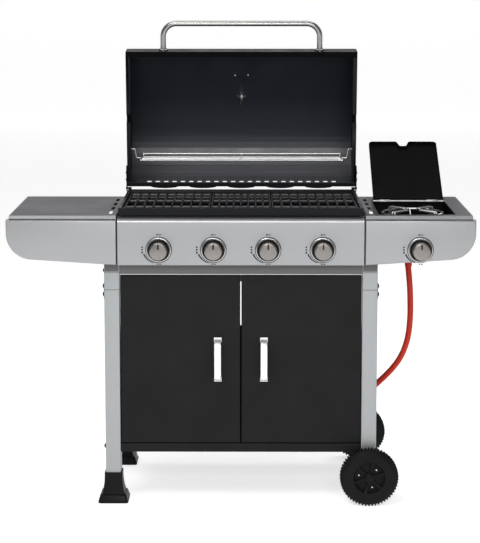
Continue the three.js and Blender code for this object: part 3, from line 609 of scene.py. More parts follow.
def regulator():
    """A round regulator with a lid of stepped rings, its vent, the bottle nut and the hose nozzle."""
    x, y, low = 150.5, 94, 159.8
    body = Shape()
    body.turned([(0, 0), (22, 0), (27, 2), (28, 6), (28, 9), (26.5, 10), (26.5, 12), (28, 13), (28, 18),
                 (26, 22), (20, 25), (18, 25.4), (17.5, 26.6), (12, 26.8), (12, 31), (10.5, 32), (0, 32)],
                (x, y, low), "z")
    for u, v in circle(24, 8):
        body.box(x + u - 2.2, x + u + 2.2, y + v - 2.2, y + v + 2.2, low + 6, low + 16.5, 0.8)
    made = body.piece("regulator_body", "cart", "regulator_body", ["regulator"])
    nut = Shape()
    nut.turned([(8, -24), (11.5, -24), (13, -26), (13, -46), (11.5, -48), (8, -48)], (x, y, low + 14), "x", 6)
    nut.wire([(x - 22, y, low + 14), (x - 40, y, low + 14)], 7.5, 24)
    nut.piece("bottle_nut", "cart", "brass", angle=25)
    tail = Shape()
    tail.turned([(0, 20), (6.5, 20), (7, 24), (9, 25), (9, 32), (7.5, 33), (7.5, 39.6), (0, 39.6)],
                (x, y, low + 9.4), "y", 32)
    tail.piece("hose_nozzle", "cart", "brass")
    return made


def gas_hose():
    path = smooth(HOSE_ROUTE, 6)
    shape = Shape()
    rib = []
    for i in range(HOSE_SIDES):
        a = tau * i / HOSE_SIDES
        radius = HOSE_RADIUS * (1 + 0.012 * (i % 2))
        rib.append((radius * cos(a), radius * sin(a)))
    shape.sweep(path, rib)
    hose = shape.piece("gas_hose_tube", "cart", "hose_red", ["gas_hose"])
    boot = Shape()
    boot.turned([(8.1, 20), (9.3, 19), (9.9, 12), (10, -18), (9.7, -20), (8.7, -20.4), (8.1, -20.4)],
                HOSE_ROUTE[0], "z", 32, -1)
    boot_piece = boot.piece("hose_boot", "cart", "hose_red")
    [at(*p) for p in path]
    regulator()


gas_hose()

# -------- cart


def square_ring(x, y, half, radius, z):
    return [(u, v, z) for u, v in rounded(x - half, x + half, y - half, y + half, radius)]


def leg(end, side, bottom):
    """A square tube in two lengths that meet at a fine seam; a front leg's front face has painted shade
    towards its top.
    """
    x, y = side * LEG_X, LEG_MIDDLE_Y[end]
    levels = [(LEG_HALF, bottom), (LEG_HALF, SEAM_Z - 0.6), (19.3, SEAM_Z - 0.3), (19.3, SEAM_Z + 0.3),
              (LEG_HALF, SEAM_Z + 0.6), (LEG_HALF, SHADE_START_Z), (LEG_HALF, SHADE_FULL_Z),
              (LEG_HALF, LEG_TOP)]
    rings = [square_ring(x, y, half, 2.2, z) for half, z in levels]
    rings += [square_ring(x, y, 18.5, 1.6, z) for z in (LEG_TOP, bottom)]
    shape = Shape().loft(rings, closed=True)
    name = f"leg_{end}_{'left' if side < 0 else 'right'}"
    tube = shape.piece(name + "_tube", "cart", "leg_steel", [name])
    if end == "front":
        # Painted shade under the panel: half shade in a thin band, then full shade up to the top.
        second_look(tube, "leg_half_shaded", lambda p, n: n.y < -0.9 and SHADE_START_Z < p.z < SHADE_FULL_Z)
        second_look(tube, "leg_shaded", lambda p, n: n.y < -0.9 and p.z > SHADE_FULL_Z)


def bolt_head(shape, centre, axis, sense, radius=5.0, height=3.2):
    """A domed head with a cross recess hinted by its flat, on a thin washer."""
    profile = [(0, -1.5), (radius + 1.6, -1.5), (radius + 1.8, 0.4), (radius + 1.4, 0.8), (radius, 0.9),
               (radius * 0.97, height * 0.45), (radius * 0.8, height * 0.8), (radius * 0.45, height),
               (radius * 0.3, height * 0.75), (0, height * 0.7)]
    shape.turned(profile, centre, axis, 24, sense)


def leg_bolts():
    """Bolts in the legs' outer faces, the plates under the pairs of them, and a dark line in each seam."""
    shape = Shape()
    for side in (-1, 1):
        face = side * (LEG_X + LEG_HALF)
        plate = sorted((face, face + side * 1.6))
        for y in LEG_MIDDLE_Y.values():
            for z in (148, 560, 582):
                bolt_head(shape, (face, y, z), "x", side, 6.4, 5.2)
            if side < 0:
                bolt_head(shape, (face, y, 624), "x", side, 5.2, 4.4)
            shape.box(*plate, y - 11, y + 11, 549, 593, 0.5)
            band = [square_ring(side * LEG_X, y, 20.08, 2.2, z) for z in (SEAM_Z - 0.3, SEAM_Z + 0.7)]
            band += [square_ring(side * LEG_X, y, 19.2, 1.8, z) for z in (SEAM_Z + 0.7, SEAM_Z - 0.3)]
            shape.loft(band, closed=True)
    shape.piece("leg_bolts", "cart", "black_plastic")


def foot(end):
    """A moulded foot: a rim on the ground, a chamfered flange and a shaft that sweeps in to its socket."""
    x, y = -LEG_X, LEG_MIDDLE_Y[end]
    outer = [(38.5, 0), (40, 1.2), (40, 4.6), (39.2, 5.4), (38.6, 5.6), (36.5, 14), (34.6, 19),
             (33.4, 20.6), (31.4, 21.4), (29.8, 22.6), (28.6, 28), (26.9, 36), (25.4, 45), (24.3, 54),
             (23.7, 64), (23.5, 74), (23.5, 78.8), (22.8, 80)]
    rings = [square_ring(x, y, half, 6 if half > 33 else 3.4, z) for half, z in outer]
    rings += [square_ring(x, y, 20.3, 2.4, z) for z in (80, 24)]
    shape = Shape().loft(rings)
    shape.piece(f"foot_{end}_moulding", "cart", "black_plastic", [f"foot_{end}_left"])


def bottom_shelf():
    outline = tray_outline(-CART_HALF, CART_HALF, CART_FRONT_Y, 430)
    shape = Shape().pan(outline, 23.5, TRAY_FOLD, lambda u, v, d: (u, v, 159.5 - d))
    shape.piece("bottom_shelf_tray", "cart", "black_sheet", ["bottom_shelf"])


def top_rail(end, y0, facing):
    """A C-shaped rail; facing is the sign of Y on its flat side."""
    low, high = 614.6, 647
    flat = y0 if facing < 0 else y0 + 22
    far = y0 + 22 if facing < 0 else y0
    line = bent([(far, low), (flat, low), (flat, high), (far, high)], 2.5, 4)
    shape = Shape().prism(sheet_outline(line, SHEET * facing), "x", -CART_HALF, CART_HALF)
    # Painted shade: the whole rail in darkened steel.
    skin = shape.piece(f"{end}_top_rail_skin", "cart", "shaded_rail_steel", [f"{end}_top_rail"])
    # Painted highlight along the rail's lower bend.
    second_look(skin, "painted_highlight_steel", lambda p, n: n.z < -0.15 and abs(n.y) > 0.15)


for end in ("front", "rear"):
    leg(end, -1, 26)
    leg(end, 1, 56)
    foot(end)
leg_bolts()
bottom_shelf()
top_rail("front", CART_FRONT_Y, -1)
top_rail("rear", 408, 1)
refined("rear_panel", "black_sheet")

# -------- doors


DOOR_Z = (161, 613.5)
DOOR_HANDLE_X = 61
DOOR_HANDLE_Z = (334, 442)


def door(side):
    name, x0, x1 = ("left_door", -318, -1.5) if side < 0 else ("right_door", 1.5, 318)
    outline = tray_outline(x0, x1, *DOOR_Z)
    shape = Shape().pan(outline, 16, TRAY_FOLD, lambda u, v, d: (u, CART_FRONT_Y + d, v))
    shape.piece(name + "_pan", name, "black_sheet", [name])


def door_handle(side):
    name = "left_door" if side < 0 else "right_door"
    x = side * DOOR_HANDLE_X
    low, high = DOOR_HANDLE_Z
    path = bent([(x, 49.8, low), (x, 21, low + 5), (x, 21, high - 5), (x, 49.8, high)], 15, 10)
    shape = Shape().sweep(path, rounded(-9, 9, -2.8, 2.8, 2.2, 4))
    for z in (low + 0.5, high - 0.5):
        shape.box(x - 10, x + 10, 46.8, 49.9, z - 6, z + 6, 1.0)
    shape.piece(name + "_handle_bow", name, "satin_handle", [name + "_handle"])


for side in (-1, 1):
    door(side)
    door_handle(side)

# -------- wheels and axle

WHEEL_CENTRE = {"front": (LEG_X, 20.5, WHEEL_AXIS_Z), "rear": (LEG_X, 459.5, WHEEL_AXIS_Z)}


def wheel(end):
    """A moulded wheel: lugged tread, bulged sidewalls, a recessed hub on six spokes."""
    centre = Vector(WHEEL_CENTRE[end])
    half, lugs = 17.5, 54
    name = end + "_wheel"
    tyre = Shape()
    profile = [(5.4, -half + 2), (11.5, -half + 2), (13, -half + 3), (13.6, -half + 10.5),
               (38.5, -half + 11.5), (40.3, -half + 9.5), (41, -half + 2), (42.5, -half + 0.4), (47, -half),
               (56, -half - 0.1), (63, -half + 0.8), (64, -half + 1.8), (68, -half + 2.6), (72.3, -half + 6),
               (74, -half + 9), (74.2, 0)]
    mirrored = [(r, -y) for r, y in reversed(profile[:-1])]
    tyre.turned(profile + mirrored, centre, "y", 96)
    for i in range(2 * lugs):
        a = tau * (i // 2 + 0.5 - 0.12 * (i % 2)) / lugs
        outer, inner = (half - 4.5, -0.6) if i % 2 else (0.6, -half + 4.5)
        turn = Matrix.Translation(centre) @ Matrix.Rotation(a, 4, "Y")
        rings = []
        for reach, wide, trim in ((71, 2.6, 0), (76.4, 2.1, 1.4), (77.4, 1.5, 2.4)):
            low = inner + (trim if i % 2 == 0 else 0)
            high = outer - (trim if i % 2 else 0)
            ring = [(reach, low, -wide), (reach, high, -wide), (reach, high, wide), (reach, low, wide)]
            rings.append([turn @ Vector(p) for p in ring])
        tyre.loft(rings)
    tyre.piece(name + "_tyre", name, "wheel_black", [name])
    hub = Shape()
    for facing in (-1, 1):
        for k in range(6):
            turn = Matrix.Translation(centre) @ Matrix.Rotation(radians(-17 - 60 * k), 4, "Y")
            rings = []
            for along, wide, tall in ((9, 4.6, 7.2), (22, 3.4, 7.6), (34, 3.8, 9.6), (41.2, 5.4, 13.4)):
                y0, y1 = facing * 5, facing * (5 + tall * 0.72)
                section = [(y0, -wide), (y1, -wide + 1.2), (y1 + facing * 0.5, 0), (y1, wide - 1.2),
                           (y0, wide)]
                rings.append([turn @ Vector((along, y, z)) for y, z in section])
            hub.loft(rings)
    boss = [(5.4, -half + 1), (11, -half + 1), (12.6, -half + 2.2), (13.4, -half + 8), (5.4, -half + 8)]
    for sense in (1, -1):
        hub.turned(boss, centre, "y", 40, sense)
    hub.piece(name + "_hub", name, "black_plastic")
    rivets = Shape()
    for facing in (-1, 1):
        for degrees in (47, 167, 287):
            a = radians(degrees)
            place = centre + Vector((28 * cos(a), facing * 6.5, 28 * sin(a)))
            rivets.turned([(0, 0), (2.7, 0), (2.4, 1.6), (1.4, 2.4), (0, 2.7)], place, "y", 16, facing)
    rivets.piece(name + "_rivets", name, "chrome")


def axle():
    x, z = LEG_X, WHEEL_AXIS_Z
    shape = Shape().wire([(x, 3.5, z), (x, 476.5, z)], 5, 20)
    for y in (88.5, 389):
        shape.turned([(0, 0), (8.6, 0), (9.2, 0.8), (9.2, 2.0), (8.6, 2.8), (0, 2.8)], (x, y, z), "y", 24)
    shape.piece("axle_rod", "cart", "chrome", ["axle"])
    caps = Shape()
    for y, facing in ((3.7, -1), (476.3, 1)):
        caps.turned([(0, -1), (8.6, -1), (9, 0), (8.6, 1.2), (6, 2.2), (0, 2.7)], (x, y, z), "y", 32, facing)
    caps.piece("axle_caps", "cart", "black_plastic")


for end in ("front", "rear"):
    wheel(end)
axle()

# -------- firebox and what is in it

refined("firebox", "black_enamel", 0.7)
refined("grease_tray", "inner_steel", 0.4)
for i in range(1, 5):
    refined(f"burner_{i}", "inner_steel", 0.0)
    refined(f"heat_plate_{i}", "dark_steel", 0.4)


def grate(name, openings):
    """Cast bars with tapered sides and round tops on cross ribs, inside a border."""
    low, high = design_box(name)
    bar, top, bottom = 6, high.z, low.z
    pitch = (high.x - low.x - bar) / openings
    shape = Shape()
    for i in range(openings + 1):
        x = low.x + bar / 2 + i * pitch
        outline = [(x - 2.1, bottom), (x + 2.1, bottom), (x + 3, top - 2.4), (x + 2.5, top - 0.9),
                   (x + 1.3, top), (x - 1.3, top), (x - 2.5, top - 0.9), (x - 3, top - 2.4)]
        shape.prism(outline, "y", low.y, high.y)
    bars = shape.piece(name + "_casting", "cart", "cast_iron", [name])
    # Painted highlight, dull, along the bars' flat tops.
    second_look(bars, "dull_highlight_iron", lambda p, n: n.z > 0.95)
    # Painted highlights on the upper faces of most cross ribs; the border ribs have none.
    for y, drop, look in ((120, 2, "rib_highlight_iron"), (236, 2, "rib_highlight_iron"), (318, 4, "dull_highlight_iron"),
                          (358, 2, "rib_highlight_iron"), (low.y + 5, 1, None), (high.y - 6, 1, None)):
        rib = Shape()
        outline = [(y - 4, bottom + 1), (y + 4, bottom + 1), (y + 4, top - drop - 1), (y + 2.8, top - drop),
                   (y - 2.4, top - drop), (y - 4, top - drop - 2.6)]
        rib.prism(outline, "x", low.x + 1, high.x - 1)
        casting = rib.piece(f"{name}_rib_{round(y)}", "cart", "cast_iron")
        if look:
            second_look(casting, look, lambda p, n: n.z > 0.3)


grate("grate_left", 9)
grate("grate_middle", 8)
grate("grate_right", 9)

# -------- control panel and gas line


def control_panel():
    """One sheet: a fold along the bottom, the upright face, a round brow and the slope behind it."""
    line = bent([(34, 648), (0, 648), (0, 764.6), (24.6, 774)], 4.5, 8)
    line[-1:-1] = [Vector((9, 768.04)), Vector((14, 769.95))]
    shape = Shape().prism(sheet_outline(line, -SHEET), "x", -PANEL_HALF, PANEL_HALF)
    sheet = shape.piece("control_panel_sheet", "cart", "steel_panel", ["control_panel"])
    # Painted highlight along the brow's bend, on faces that look forward and up.
    second_look(sheet, "painted_highlight_steel", lambda p, n: n.z > 0.25 and n.y < -0.2)
    # Painted reflection of the firebox's dark lip: a mid strip at the front of the slope, a dark one behind.
    second_look(sheet, "painted_lip_reflection", lambda p, n: n.z > 0.85 and 4 < p.y < 14)
    second_look(sheet, "shaded_steel", lambda p, n: n.z > 0.85 and p.y > 14)
    seams = Shape()
    for side in (-1, 1):
        seams.box(*sorted((side * 320.2, side * 322.8)), 3, 7, 651, 765, 0.3)
    seams.piece("panel_seams", "cart", "print_black")


# name, body, look, sides and profile of round pieces
KNOB_PARTS = [
    ("knob_{0}_cap", "knob_{0}", "knob_nickel", 64,
     [(0, 12), (21.5, 12), (22.6, 13), (23, 14.5), (23, 33.5), (22.4, 35.4), (21, 36.6), (19.5, 36.9),
      (0, 37)]),
    ("knob_{0}_skirt", "knob_{0}", "black_plastic", 64,
     [(4.3, 6), (27.4, 6), (28, 6.8), (28, 10.2), (27, 11.6), (23.6, 15.6), (22.8, 16.2), (4.3, 16.2)]),
]
KNOB_SURROUND = [
    ("knob_bezel_{0}", "cart", "bezel", 72,
     [(29.3, 0.2), (32.4, 0.2), (33, 0.7), (33, 1.6), (32.2, 2.9), (30.9, 3.9), (30, 4), (29.3, 3.4)]),
    ("knob_seat_{0}", "cart", "print_black", 72,
     [(28.6, 0.1), (34.3, 0.1), (34.3, 0.5), (33, 0.9), (29, 0.9)]),
]


def knob_pieces(number, x, table):
    for name, body, look, sides, profile in table:
        shape = Shape().turned(profile, (x, 0, KNOB_Z), "y", sides, -1)
        stands_for = [f"knob_{number}"] if look == "knob_nickel" else ()
        shape.piece(name.format(number), body.format(number), look, stands_for)


def knob(number, x):
    """A satin cap with a pointer line, on a black skirt, in a trim ring on a thin dark seat."""
    knob_pieces(number, x, KNOB_PARTS)
    line = Shape().prism(rounded(x - 2.1, x + 2.1, KNOB_Z + 6, KNOB_Z + 20.4, 1.8, 3), "y", -37.2, -36.5)
    line.piece(f"knob_{number}_pointer", f"knob_{number}", "print_black")
    knob_pieces(number, x, KNOB_SURROUND)


def knob_marks(number, x):
    """Printed signs round a knob: a swelling arc, two arrow heads, dots and dashes."""
    shape = Shape()

    def mark(points):
        shape.prism([(x + u, KNOB_Z + v) for u, v in points], "y", -0.16, 0.2)

    steps = 16
    edge = [(42 - 5 * i / steps, 196 + 54 * i / steps) for i in range(steps + 1)]
    inner = [(38 - 2.6 * i / steps, 196 + 54 * i / steps) for i in range(steps + 1)]
    mark([(r * cos(radians(a)), r * sin(radians(a))) for r, a in edge + inner[::-1]])
    mark([(-46, 5.5), (-40, 5.5), (-43, 10.5)])
    mark([(-43 + u, 0.5 + v) for u, v in circle(2.3, 16)])
    mark([(-45.8, -7.5), (-43, -10.5), (-40.2, -7.5), (-43, -3)])
    mark([(-5.5, 38), (-1.2, 38), (-1.2, 41.4), (-5.5, 41.4)])
    mark([(0.8, 38.6), (6, 38.6), (6, 40.8), (0.8, 40.8)])
    mark([(-3 + u, -37.6 + v) for u, v in circle(1.7, 16)])
    mark([(1.2, -38.8), (6, -38.8), (6, -36.4), (1.2, -36.4)])
    shape.piece(f"knob_marks_{number}", "cart", "print_black")


def gas_line():
    """The pipe behind the panel, its valves, and the elbow that ends in the hose nut."""
    pipe = Shape()
    y, z = GAS_PIPE
    path = bent([(-300, y, z), (HOSE_EXIT[0], y, z), (*HOSE_EXIT, z), (*HOSE_EXIT, 650)], 9, 6)
    pipe.wire(path, 7, 24)
    pipe.turned([(0, 0), (8.6, 0), (9, 1), (9, 12), (8, 13), (0, 13)], (-300, y, z), "x", 6)
    pipe.turned([(0, -5), (10.4, -5), (11, -4.4), (11, 0.4), (10.4, 1), (8, 1), (8, 18), (0, 18)],
                (*HOSE_EXIT, 652), "z", 24, -1)
    for x in KNOB_X:
        height = 716 if x < PANEL_HALF else KNOB_Z
        pipe.box(x - 11, x + 11, 9.2, 43.8, 656, height + 8, 2.0)
        pipe.turned([(0, 0), (6.5, 0), (7, 0.6), (7, 7), (6.5, 7.6), (4, 8), (4, 22.5), (0, 23)],
                    (x, 43.4, height), "y", 6 if x < PANEL_HALF else 24)
        pipe.turned([(4.7, 0), (8, 0), (8, 4), (4.7, 4)], (x, 9.4, KNOB_Z), "y", 6, -1)
    pipe.piece("gas_line", "cart", "brass", ["gas_manifold"], angle=28)


control_panel()
gas_line()
for number, x in enumerate(KNOB_X, 1):
    knob(number, x)
    knob_marks(number, x)
    stem = frame["nodes"][f"knob_stem_{number}"]
    stem.data.materials.clear()
    stem.data.materials.append(MATERIALS["brass"])

# -------- side tables


def fascia(side):
    """A folded plate with square upper corners and one big round lower one."""
    name = "left_fascia" if side < 0 else "right_fascia"

    def outline(inset):
        corner = arc((542, 731), 68 - inset, 0, -90, 20)
        points = [(323 + inset, 767 - inset), (610 - inset, 767 - inset)] + corner
        points.append((323 + inset, 649 + inset))
        return [(side * u, v) for u, v in points]

    shape = Shape().pan(outline, 24, 4.5, lambda u, v, d: (u, d, v))
    shape.piece(name + "_plate", "cart", "steel_panel", [name])


for side in (-1, 1):
    fascia(side)
for name in ("left_table", "right_table"):
    table = refined(name, "table_steel", 0.6)
    # Painted highlight: the noses that face forward and up take the lighter panel steel.
    second_look(table, "steel_panel", lambda p, n: p.y < 26 and n.y < -0.25 and n.z > 0.1)
    # Painted shade: the front-facing walls towards the back, under the top, are black, so the rear slots and
    # opening read dark.
    second_look(table, "black_enamel", lambda p, n: p.z < 774 and n.y < -0.9 and p.y > 300)

# -------- side burner

refined("side_burner_bowl", "lid_black")


def side_burner():
    """A burner head with a slotted rim and a flat cap, on its bent tube."""
    x, y = SIDE_BURNER
    segments = 72

    def ring(radius, z, notch=0.0):
        points = []
        for i in range(segments):
            a = tau * i / segments
            reach = radius - notch * (i % 3 == 0)
            points.append((x + reach * cos(a), y + reach * sin(a), z))
        return points

    levels = [(9, 690), (9, 724), (24, 725), (27, 727), (36.5, 731), (38, 733), (38, 735)]
    base = Shape().loft([ring(r, z) for r, z in levels] + [ring(38, 735.2, 3.2), ring(38, 738.6, 3.2),
                                                           ring(37.6, 738.8), ring(34, 739.6)])
    base.wire(bent([(466, 49.5, KNOB_Z), (460, 160, KNOB_Z), (460, 160, 724)], 12, 6), 9, 24)
    base.piece("side_burner_base", "cart", "inner_steel", ["side_burner"])
    cap = Shape().turned([(0, 739.2), (33, 739.2), (34.6, 740.2), (34.6, 741.6), (32.5, 743.2), (20, 744),
                          (0, 744)], (x, y, 0), "z", 64)
    cap.piece("side_burner_cap", "cart", "black_enamel")


def pan_support():
    """A wire ring on four bent wires that reach in over the burner, with four spokes down to its head."""
    x, y = SIDE_BURNER
    shape = Shape().turned([(80 + u, 764 + v) for u, v in circle(3.0, 12)], (x, y, 0), "z", 64)
    for k in range(4):
        turn = Matrix.Translation((x, y, 0)) @ Matrix.Rotation(radians(45 + 90 * k), 4, "Z")
        loop = [(77.5, -4, 718), (79, -4, 773), (24, -4, 773), (24, 4, 773), (79, 4, 773), (77.5, 4, 718)]
        path = bent([turn @ Vector(p) for p in loop], 3.9, 5)
        shape.wire(path, 2.7, 12)
    for k in range(4):
        a = radians(90 * k)
        levels = ((80, 764), (58, 752), (44, 740))
        spoke = [(x + r * cos(a), y + r * sin(a), z) for r, z in levels]
        shape.wire(bent(spoke, 6, 4), 2.4, 12)
    shape.piece("pan_support_wires", "cart", "bezel", ["pan_support"])


def side_lid():
    """A shallow folded lid with a finger notch in its free edge, on two rolled knuckles."""
    def outline(inset):
        half, free, spread = 96 - inset, -243 + inset, inset * 0.6
        notch = bent([(-40, free), (-17.5 - spread, free), (-9 - spread, free + 19), (9 + spread, free + 19),
                      (17.5 + spread, free), (40, free)], 6, 5)
        left = arc((-half + 10, free + 10), 10, 180, 270, 6)
        right = arc((half - 10, free + 10), 10, 270, 360, 6)
        return [(-half, -4 - inset)] + left + notch + right + [(half, -4 - inset)]

    shape = Shape(SIDE_LID_FRAME)
    shape.pan(outline, 10.5, 2.2, lambda u, v, d: (u, v, 5.5 - d), sheet=1.2)
    knuckles = Shape(SIDE_LID_FRAME)
    for x in (-65, 65):
        knuckles.turned([(3.3, -15), (4.0, -15), (4.2, -14.6), (4.2, 14.6), (4.0, 15), (3.3, 15)],
                        (x, 0, 0), "x", 28)
        knuckles.box(x - 15, x + 15, -6, 0.5, 3.2, 4.3, 0.3)
    knuckles.piece("side_lid_knuckles", "side_lid", "inner_steel")
    shape.piece("side_lid_pan", "side_lid", "lid_black", ["side_burner_lid"])
    _, y, z = SIDE_LID_HINGE
    rod = Shape().wire([(360.5, y, z), (559.5, y, z)], 3, 20)
    rod.turned([(0, 0), (4.6, 0), (4.6, 1.2), (3.4, 2.4), (0, 2.6)], (559.2, y, z), "x", 20)
    rod.piece("side_lid_hinge_rod", "cart", "inner_steel", ["side_lid_rod"])


side_burner()
pan_support()
side_lid()

# -------- main lid

HANDLE_X = 218.5
LID_CAVITY = Vector((0, 405, 985))
SHELL_END = 0.32
SHELL_REACH = 0.3209


def lid_shell():
    """The lid's sheet, with painted light and shade on its lining.

    The CAD's sheet stops 0.3 mm short of its end plates. Here its ends reach into them, so that no light
    shows between. Part way down, its rear corners cut up to 2 mm into the firebox.
    """
    shell = refined("lid_shell", "lid_enamel")
    # Painted light and shade on the faces that look into the lid.
    second_look(shell, "lid_lining_painted_light", lambda p, n: (LID_CAVITY - p).dot(n) > 0)
    # Painted shade: the upper faces that look forward, at the top of the open lid's inside, in the darkest
    # black.
    second_look(shell, "lid_black", lambda p, n: n.y < -0.9 and p.z > 1150)
    for vertex in shell.data.vertices:
        if abs(vertex.co.x) > SHELL_END:
            vertex.co.x = copysign(SHELL_REACH, vertex.co.x)


lid_shell()
refined("lid_side_left", "black_enamel")
refined("lid_side_right", "black_enamel")


def slope_point(forward):
    """A point of the lid's sloping outer face, that far forward of the rear wall, and its outward normal."""
    normal = Vector((0, cos(LID_SLOPE), sin(LID_SLOPE)))
    crown = Vector((0, LID_BACK_Y - 88, LID_RIM + 108)) + 88 * normal
    y = LID_BACK_Y - forward
    return Vector((0, y, crown.z - (y - crown.y) * normal.y / normal.z)), normal


def lid_handle():
    """A round bar that stands off the lid's front on two turned feet."""
    z, reach = LID_RIM + 30, LID_FRONT_Y - 75
    root = LID_FRONT_Y - 0.5
    path = [(-HANDLE_X, root, z), (-HANDLE_X, reach, z), (HANDLE_X, reach, z), (HANDLE_X, root, z)]
    bar = Shape(LID_FRAME).wire(bent(path, 37, 14), 8, 32)
    bar.piece("lid_handle_bar", "lid", "handle_steel", ["lid_handle"])
    feet = Shape(LID_FRAME)
    for x in (-HANDLE_X, HANDLE_X):
        feet.turned([(0, 0.2), (13, 0.2), (13.6, 0.8), (13.6, 3.2), (12.6, 4.2), (9.6, 5.2), (8.2, 5.4)],
                    (x, LID_FRONT_Y, z), "y", 40, -1)
    feet.piece("lid_handle_feet", "lid", "handle_steel")


def thermometer():
    """A dial in a steel bezel on the lid's slope, with its stem, wing nut and probe inside."""
    place, _ = slope_point(238)
    gauge = LID_FRAME @ Matrix.Translation(place) @ Matrix.Rotation(LID_SLOPE, 4, "X")
    case = Shape(gauge)
    case.turned([(0, 0.3), (26, 0.3), (28.5, 1), (30, 3.4), (30, 11), (29.2, 13), (27.6, 14), (26.4, 13.6),
                 (26, 11.4), (0, 11.4)], (0, 0, 0), "y", 64)
    case.turned([(0, -44), (1.6, -43.6), (2.5, -42), (2.5, -1.8), (0, -1.8)], (0, 0, 0), "y", 20)
    case.turned([(2.4, -9), (7.6, -9), (8, -8.4), (8, -2.4), (7.6, -1.8), (2.4, -1.8)], (0, 0, 0), "y", 6)
    for side in (-1, 1):
        case.prism(rounded(*sorted((side * 6, side * 15)), -3.5, 3.5, 3, 4), "y", -6.6, -4.6)
    case.piece("thermometer_case", "lid", "chrome", ["thermometer"], angle=28)
    face = Shape(gauge).turned([(0, 11.5), (26, 11.5), (26, 11.9), (0, 11.9)], (0, 0, 0), "y", 64)
    face.piece("thermometer_face", "lid", "dial_white")
    ticks = Shape(gauge)
    for i in range(25):
        a = radians(-135 + 270 * i / 24)
        inner, wide = (19.5, 0.45) if i % 4 == 0 else (21.8, 0.25)
        across = (cos(a), -sin(a))
        ends = [(r * sin(a) + s * wide * across[0], r * cos(a) + s * wide * across[1])
                for r, s in ((inner, -1), (24, -1), (24, 1), (inner, 1))]
        ticks.prism([(u, -v) for u, v in ends], "y", 11.85, 12.05)
    ticks.turned([(0, 11.9), (2.4, 11.9), (2.0, 12.9), (0, 13.1)], (0, 0, 0), "y", 20)
    ticks.piece("thermometer_ticks", "lid", "print_black")
    needle = Shape(gauge).prism([(-1.2, 3), (0, -18.5), (1.2, 3), (0, 5)], "y", 12.2, 12.6)
    needle.piece("thermometer_needle", "lid", "dial_red")


def lid_trim():
    """Nuts of the blank name plate, the plate itself, side screws and the scalloped rear edge."""
    place, normal = slope_point(302)
    turn = Matrix.Translation(place) @ Matrix.Rotation(LID_SLOPE - pi / 2, 4, "X")
    plate = Shape(LID_FRAME @ turn).prism(rounded(-42, 42, -13, 13, 12, 8), "z", 0.1, 1.6, 0.5)
    plate.piece("lid_blank_plate", "lid", "satin_handle")
    nuts = Shape(LID_FRAME @ turn)
    for x in (-18.5, 18.5):
        nuts.turned([(0, -1.6), (3.6, -1.6), (3.8, -2), (3.8, -4), (3.4, -4.4), (0, -4.4)], (x, 0, 0), "z", 6)
        nuts.turned([(0, -4.4), (1.6, -4.4), (1.6, -7.5), (0, -7.9)], (x, 0, 0), "z", 16)
    nuts.piece("lid_plate_nuts", "lid", "chrome")
    for name, look, x, facing, places, size in (
        ("lid_side_screws", "chrome", 320.4, -1, ((30, 40), (170, 12), (225, 12), (340, 12)), (2.6, 2.0)),
        ("lid_arm_screws", "black_plastic", 324.6, 1, ((20, 1), (40, 1)), (3.4, 2.6)),
    ):
        screws = Shape(LID_FRAME)
        for side in (-1, 1):
            for forward, rise in places:
                centre = (side * x, LID_BACK_Y - forward, LID_RIM + rise)
                bolt_head(screws, centre, "x", side * facing, *size)
        screws.piece(name, "lid", look)
    tabs = Shape(LID_FRAME)
    for k in range(5):
        middle = -218 + 109 * k
        scallop = [(middle + 39 * cos(a), LID_BACK_Y + 5.5 * sin(a) - 0.6)
                   for a in (pi * i / 12 for i in range(13))]
        tabs.prism(scallop, "z", LID_RIM + 0.2, LID_RIM + 1.7)
    tabs.piece("lid_rear_scallops", "lid", "black_enamel")


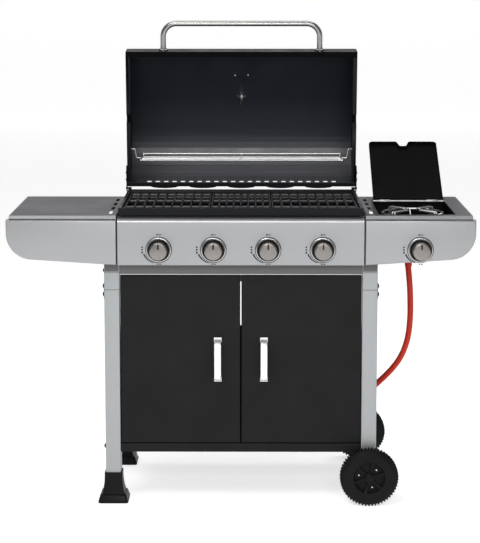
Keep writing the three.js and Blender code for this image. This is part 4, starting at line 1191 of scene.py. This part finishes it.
def warming_rack():
    """A wire shelf on two cranked ends that stays level while the lid turns."""
    middle = LID_FRAME @ Vector((0, LID_BACK_Y - 95, LID_RIM + 67))
    shape = Shape(Matrix.Translation(middle))
    drop, deep, half = -26, 55, 284
    for y, z in ((-deep, drop), (-20, drop), (17, drop), (deep, drop + 6)):
        shape.wire([(-half, y, z), (half, y, z)], 2.5, 16)
    shape.wire([(0, -deep, drop - 1), (0, 17, drop - 1), (0, deep, drop + 5)], 1.9, 10)
    for side in (-1, 1):
        end = side * half
        frame_wire = [(end, -deep - 3, drop + 0.4), (end, deep, drop + 0.4), (end, deep, drop + 9)]
        shape.wire(bent(frame_wire, 3.5, 5), 2.5, 12)
        crank = [(end, 0.3, drop + 0.2), (side * 300.5, 0.3, drop + 0.2), (side * 304.5, 0, 0),
                 (side * 324.5, 0, 0)]
        shape.wire(bent(crank, 4, 6), 1.8, 12)
    shape.piece("warming_rack_wires", "rack", "rack_wire", ["warming_rack"])


lid_handle()
thermometer()
lid_trim()
warming_rack()

# -------- stage and light

STAGE_HALF = 30
WORLD_STRENGTH = 0.28

# place, target, size in metres and power in watts
LIGHTS = {
    "key": ((-1.3, -2.6, 4.0), (0, 0.1, 0.7), (2.4, 1.6), 62),
    "front": ((0.4, -5.2, 2.5), (0, 0, 0.6), (2.6, 1.2), 105),
    "top": ((0, 0.8, 3.6), (0, 0, 0.8), (3.0, 2.0), 45),
}


def stage():
    """A pale floor that curves up into a backdrop."""
    line = bent([(0, -STAGE_HALF, 0), (0, 14, 0), (0, 14, 4.5)], 3, 24)
    mesh = bmesh.new()
    rows = [[mesh.verts.new((x, p.y, p.z)) for x in (-STAGE_HALF, STAGE_HALF)] for p in line]
    for low, high in zip(rows, rows[1:]):
        mesh.faces.new((low[0], low[1], high[1], high[0]))
    floor = as_object(mesh, "studio_floor")
    floor.data.shade_smooth()
    floor.data.materials.append(MATERIALS["floor"])


def area_light(name, place, target, size, power):
    data = bpy.data.lights.new(name, "AREA")
    data.shape = "RECTANGLE"
    data.size, data.size_y = size
    data.energy = power
    light = new_object(name, data)
    light.location = place
    light.rotation_euler = (Vector(target) - Vector(place)).to_track_quat("-Z", "Y").to_euler()


def lighting():
    world = bpy.data.worlds.new("studio")
    world.use_nodes = True
    background = world.node_tree.nodes["Background"]
    background.inputs["Color"].default_value = (1, 1, 1, 1)
    background.inputs["Strength"].default_value = WORLD_STRENGTH
    bpy.context.scene.world = world
    for name, values in LIGHTS.items():
        area_light(name, *values)
    bpy.context.scene.view_settings.view_transform = "Standard"


stage()
lighting()
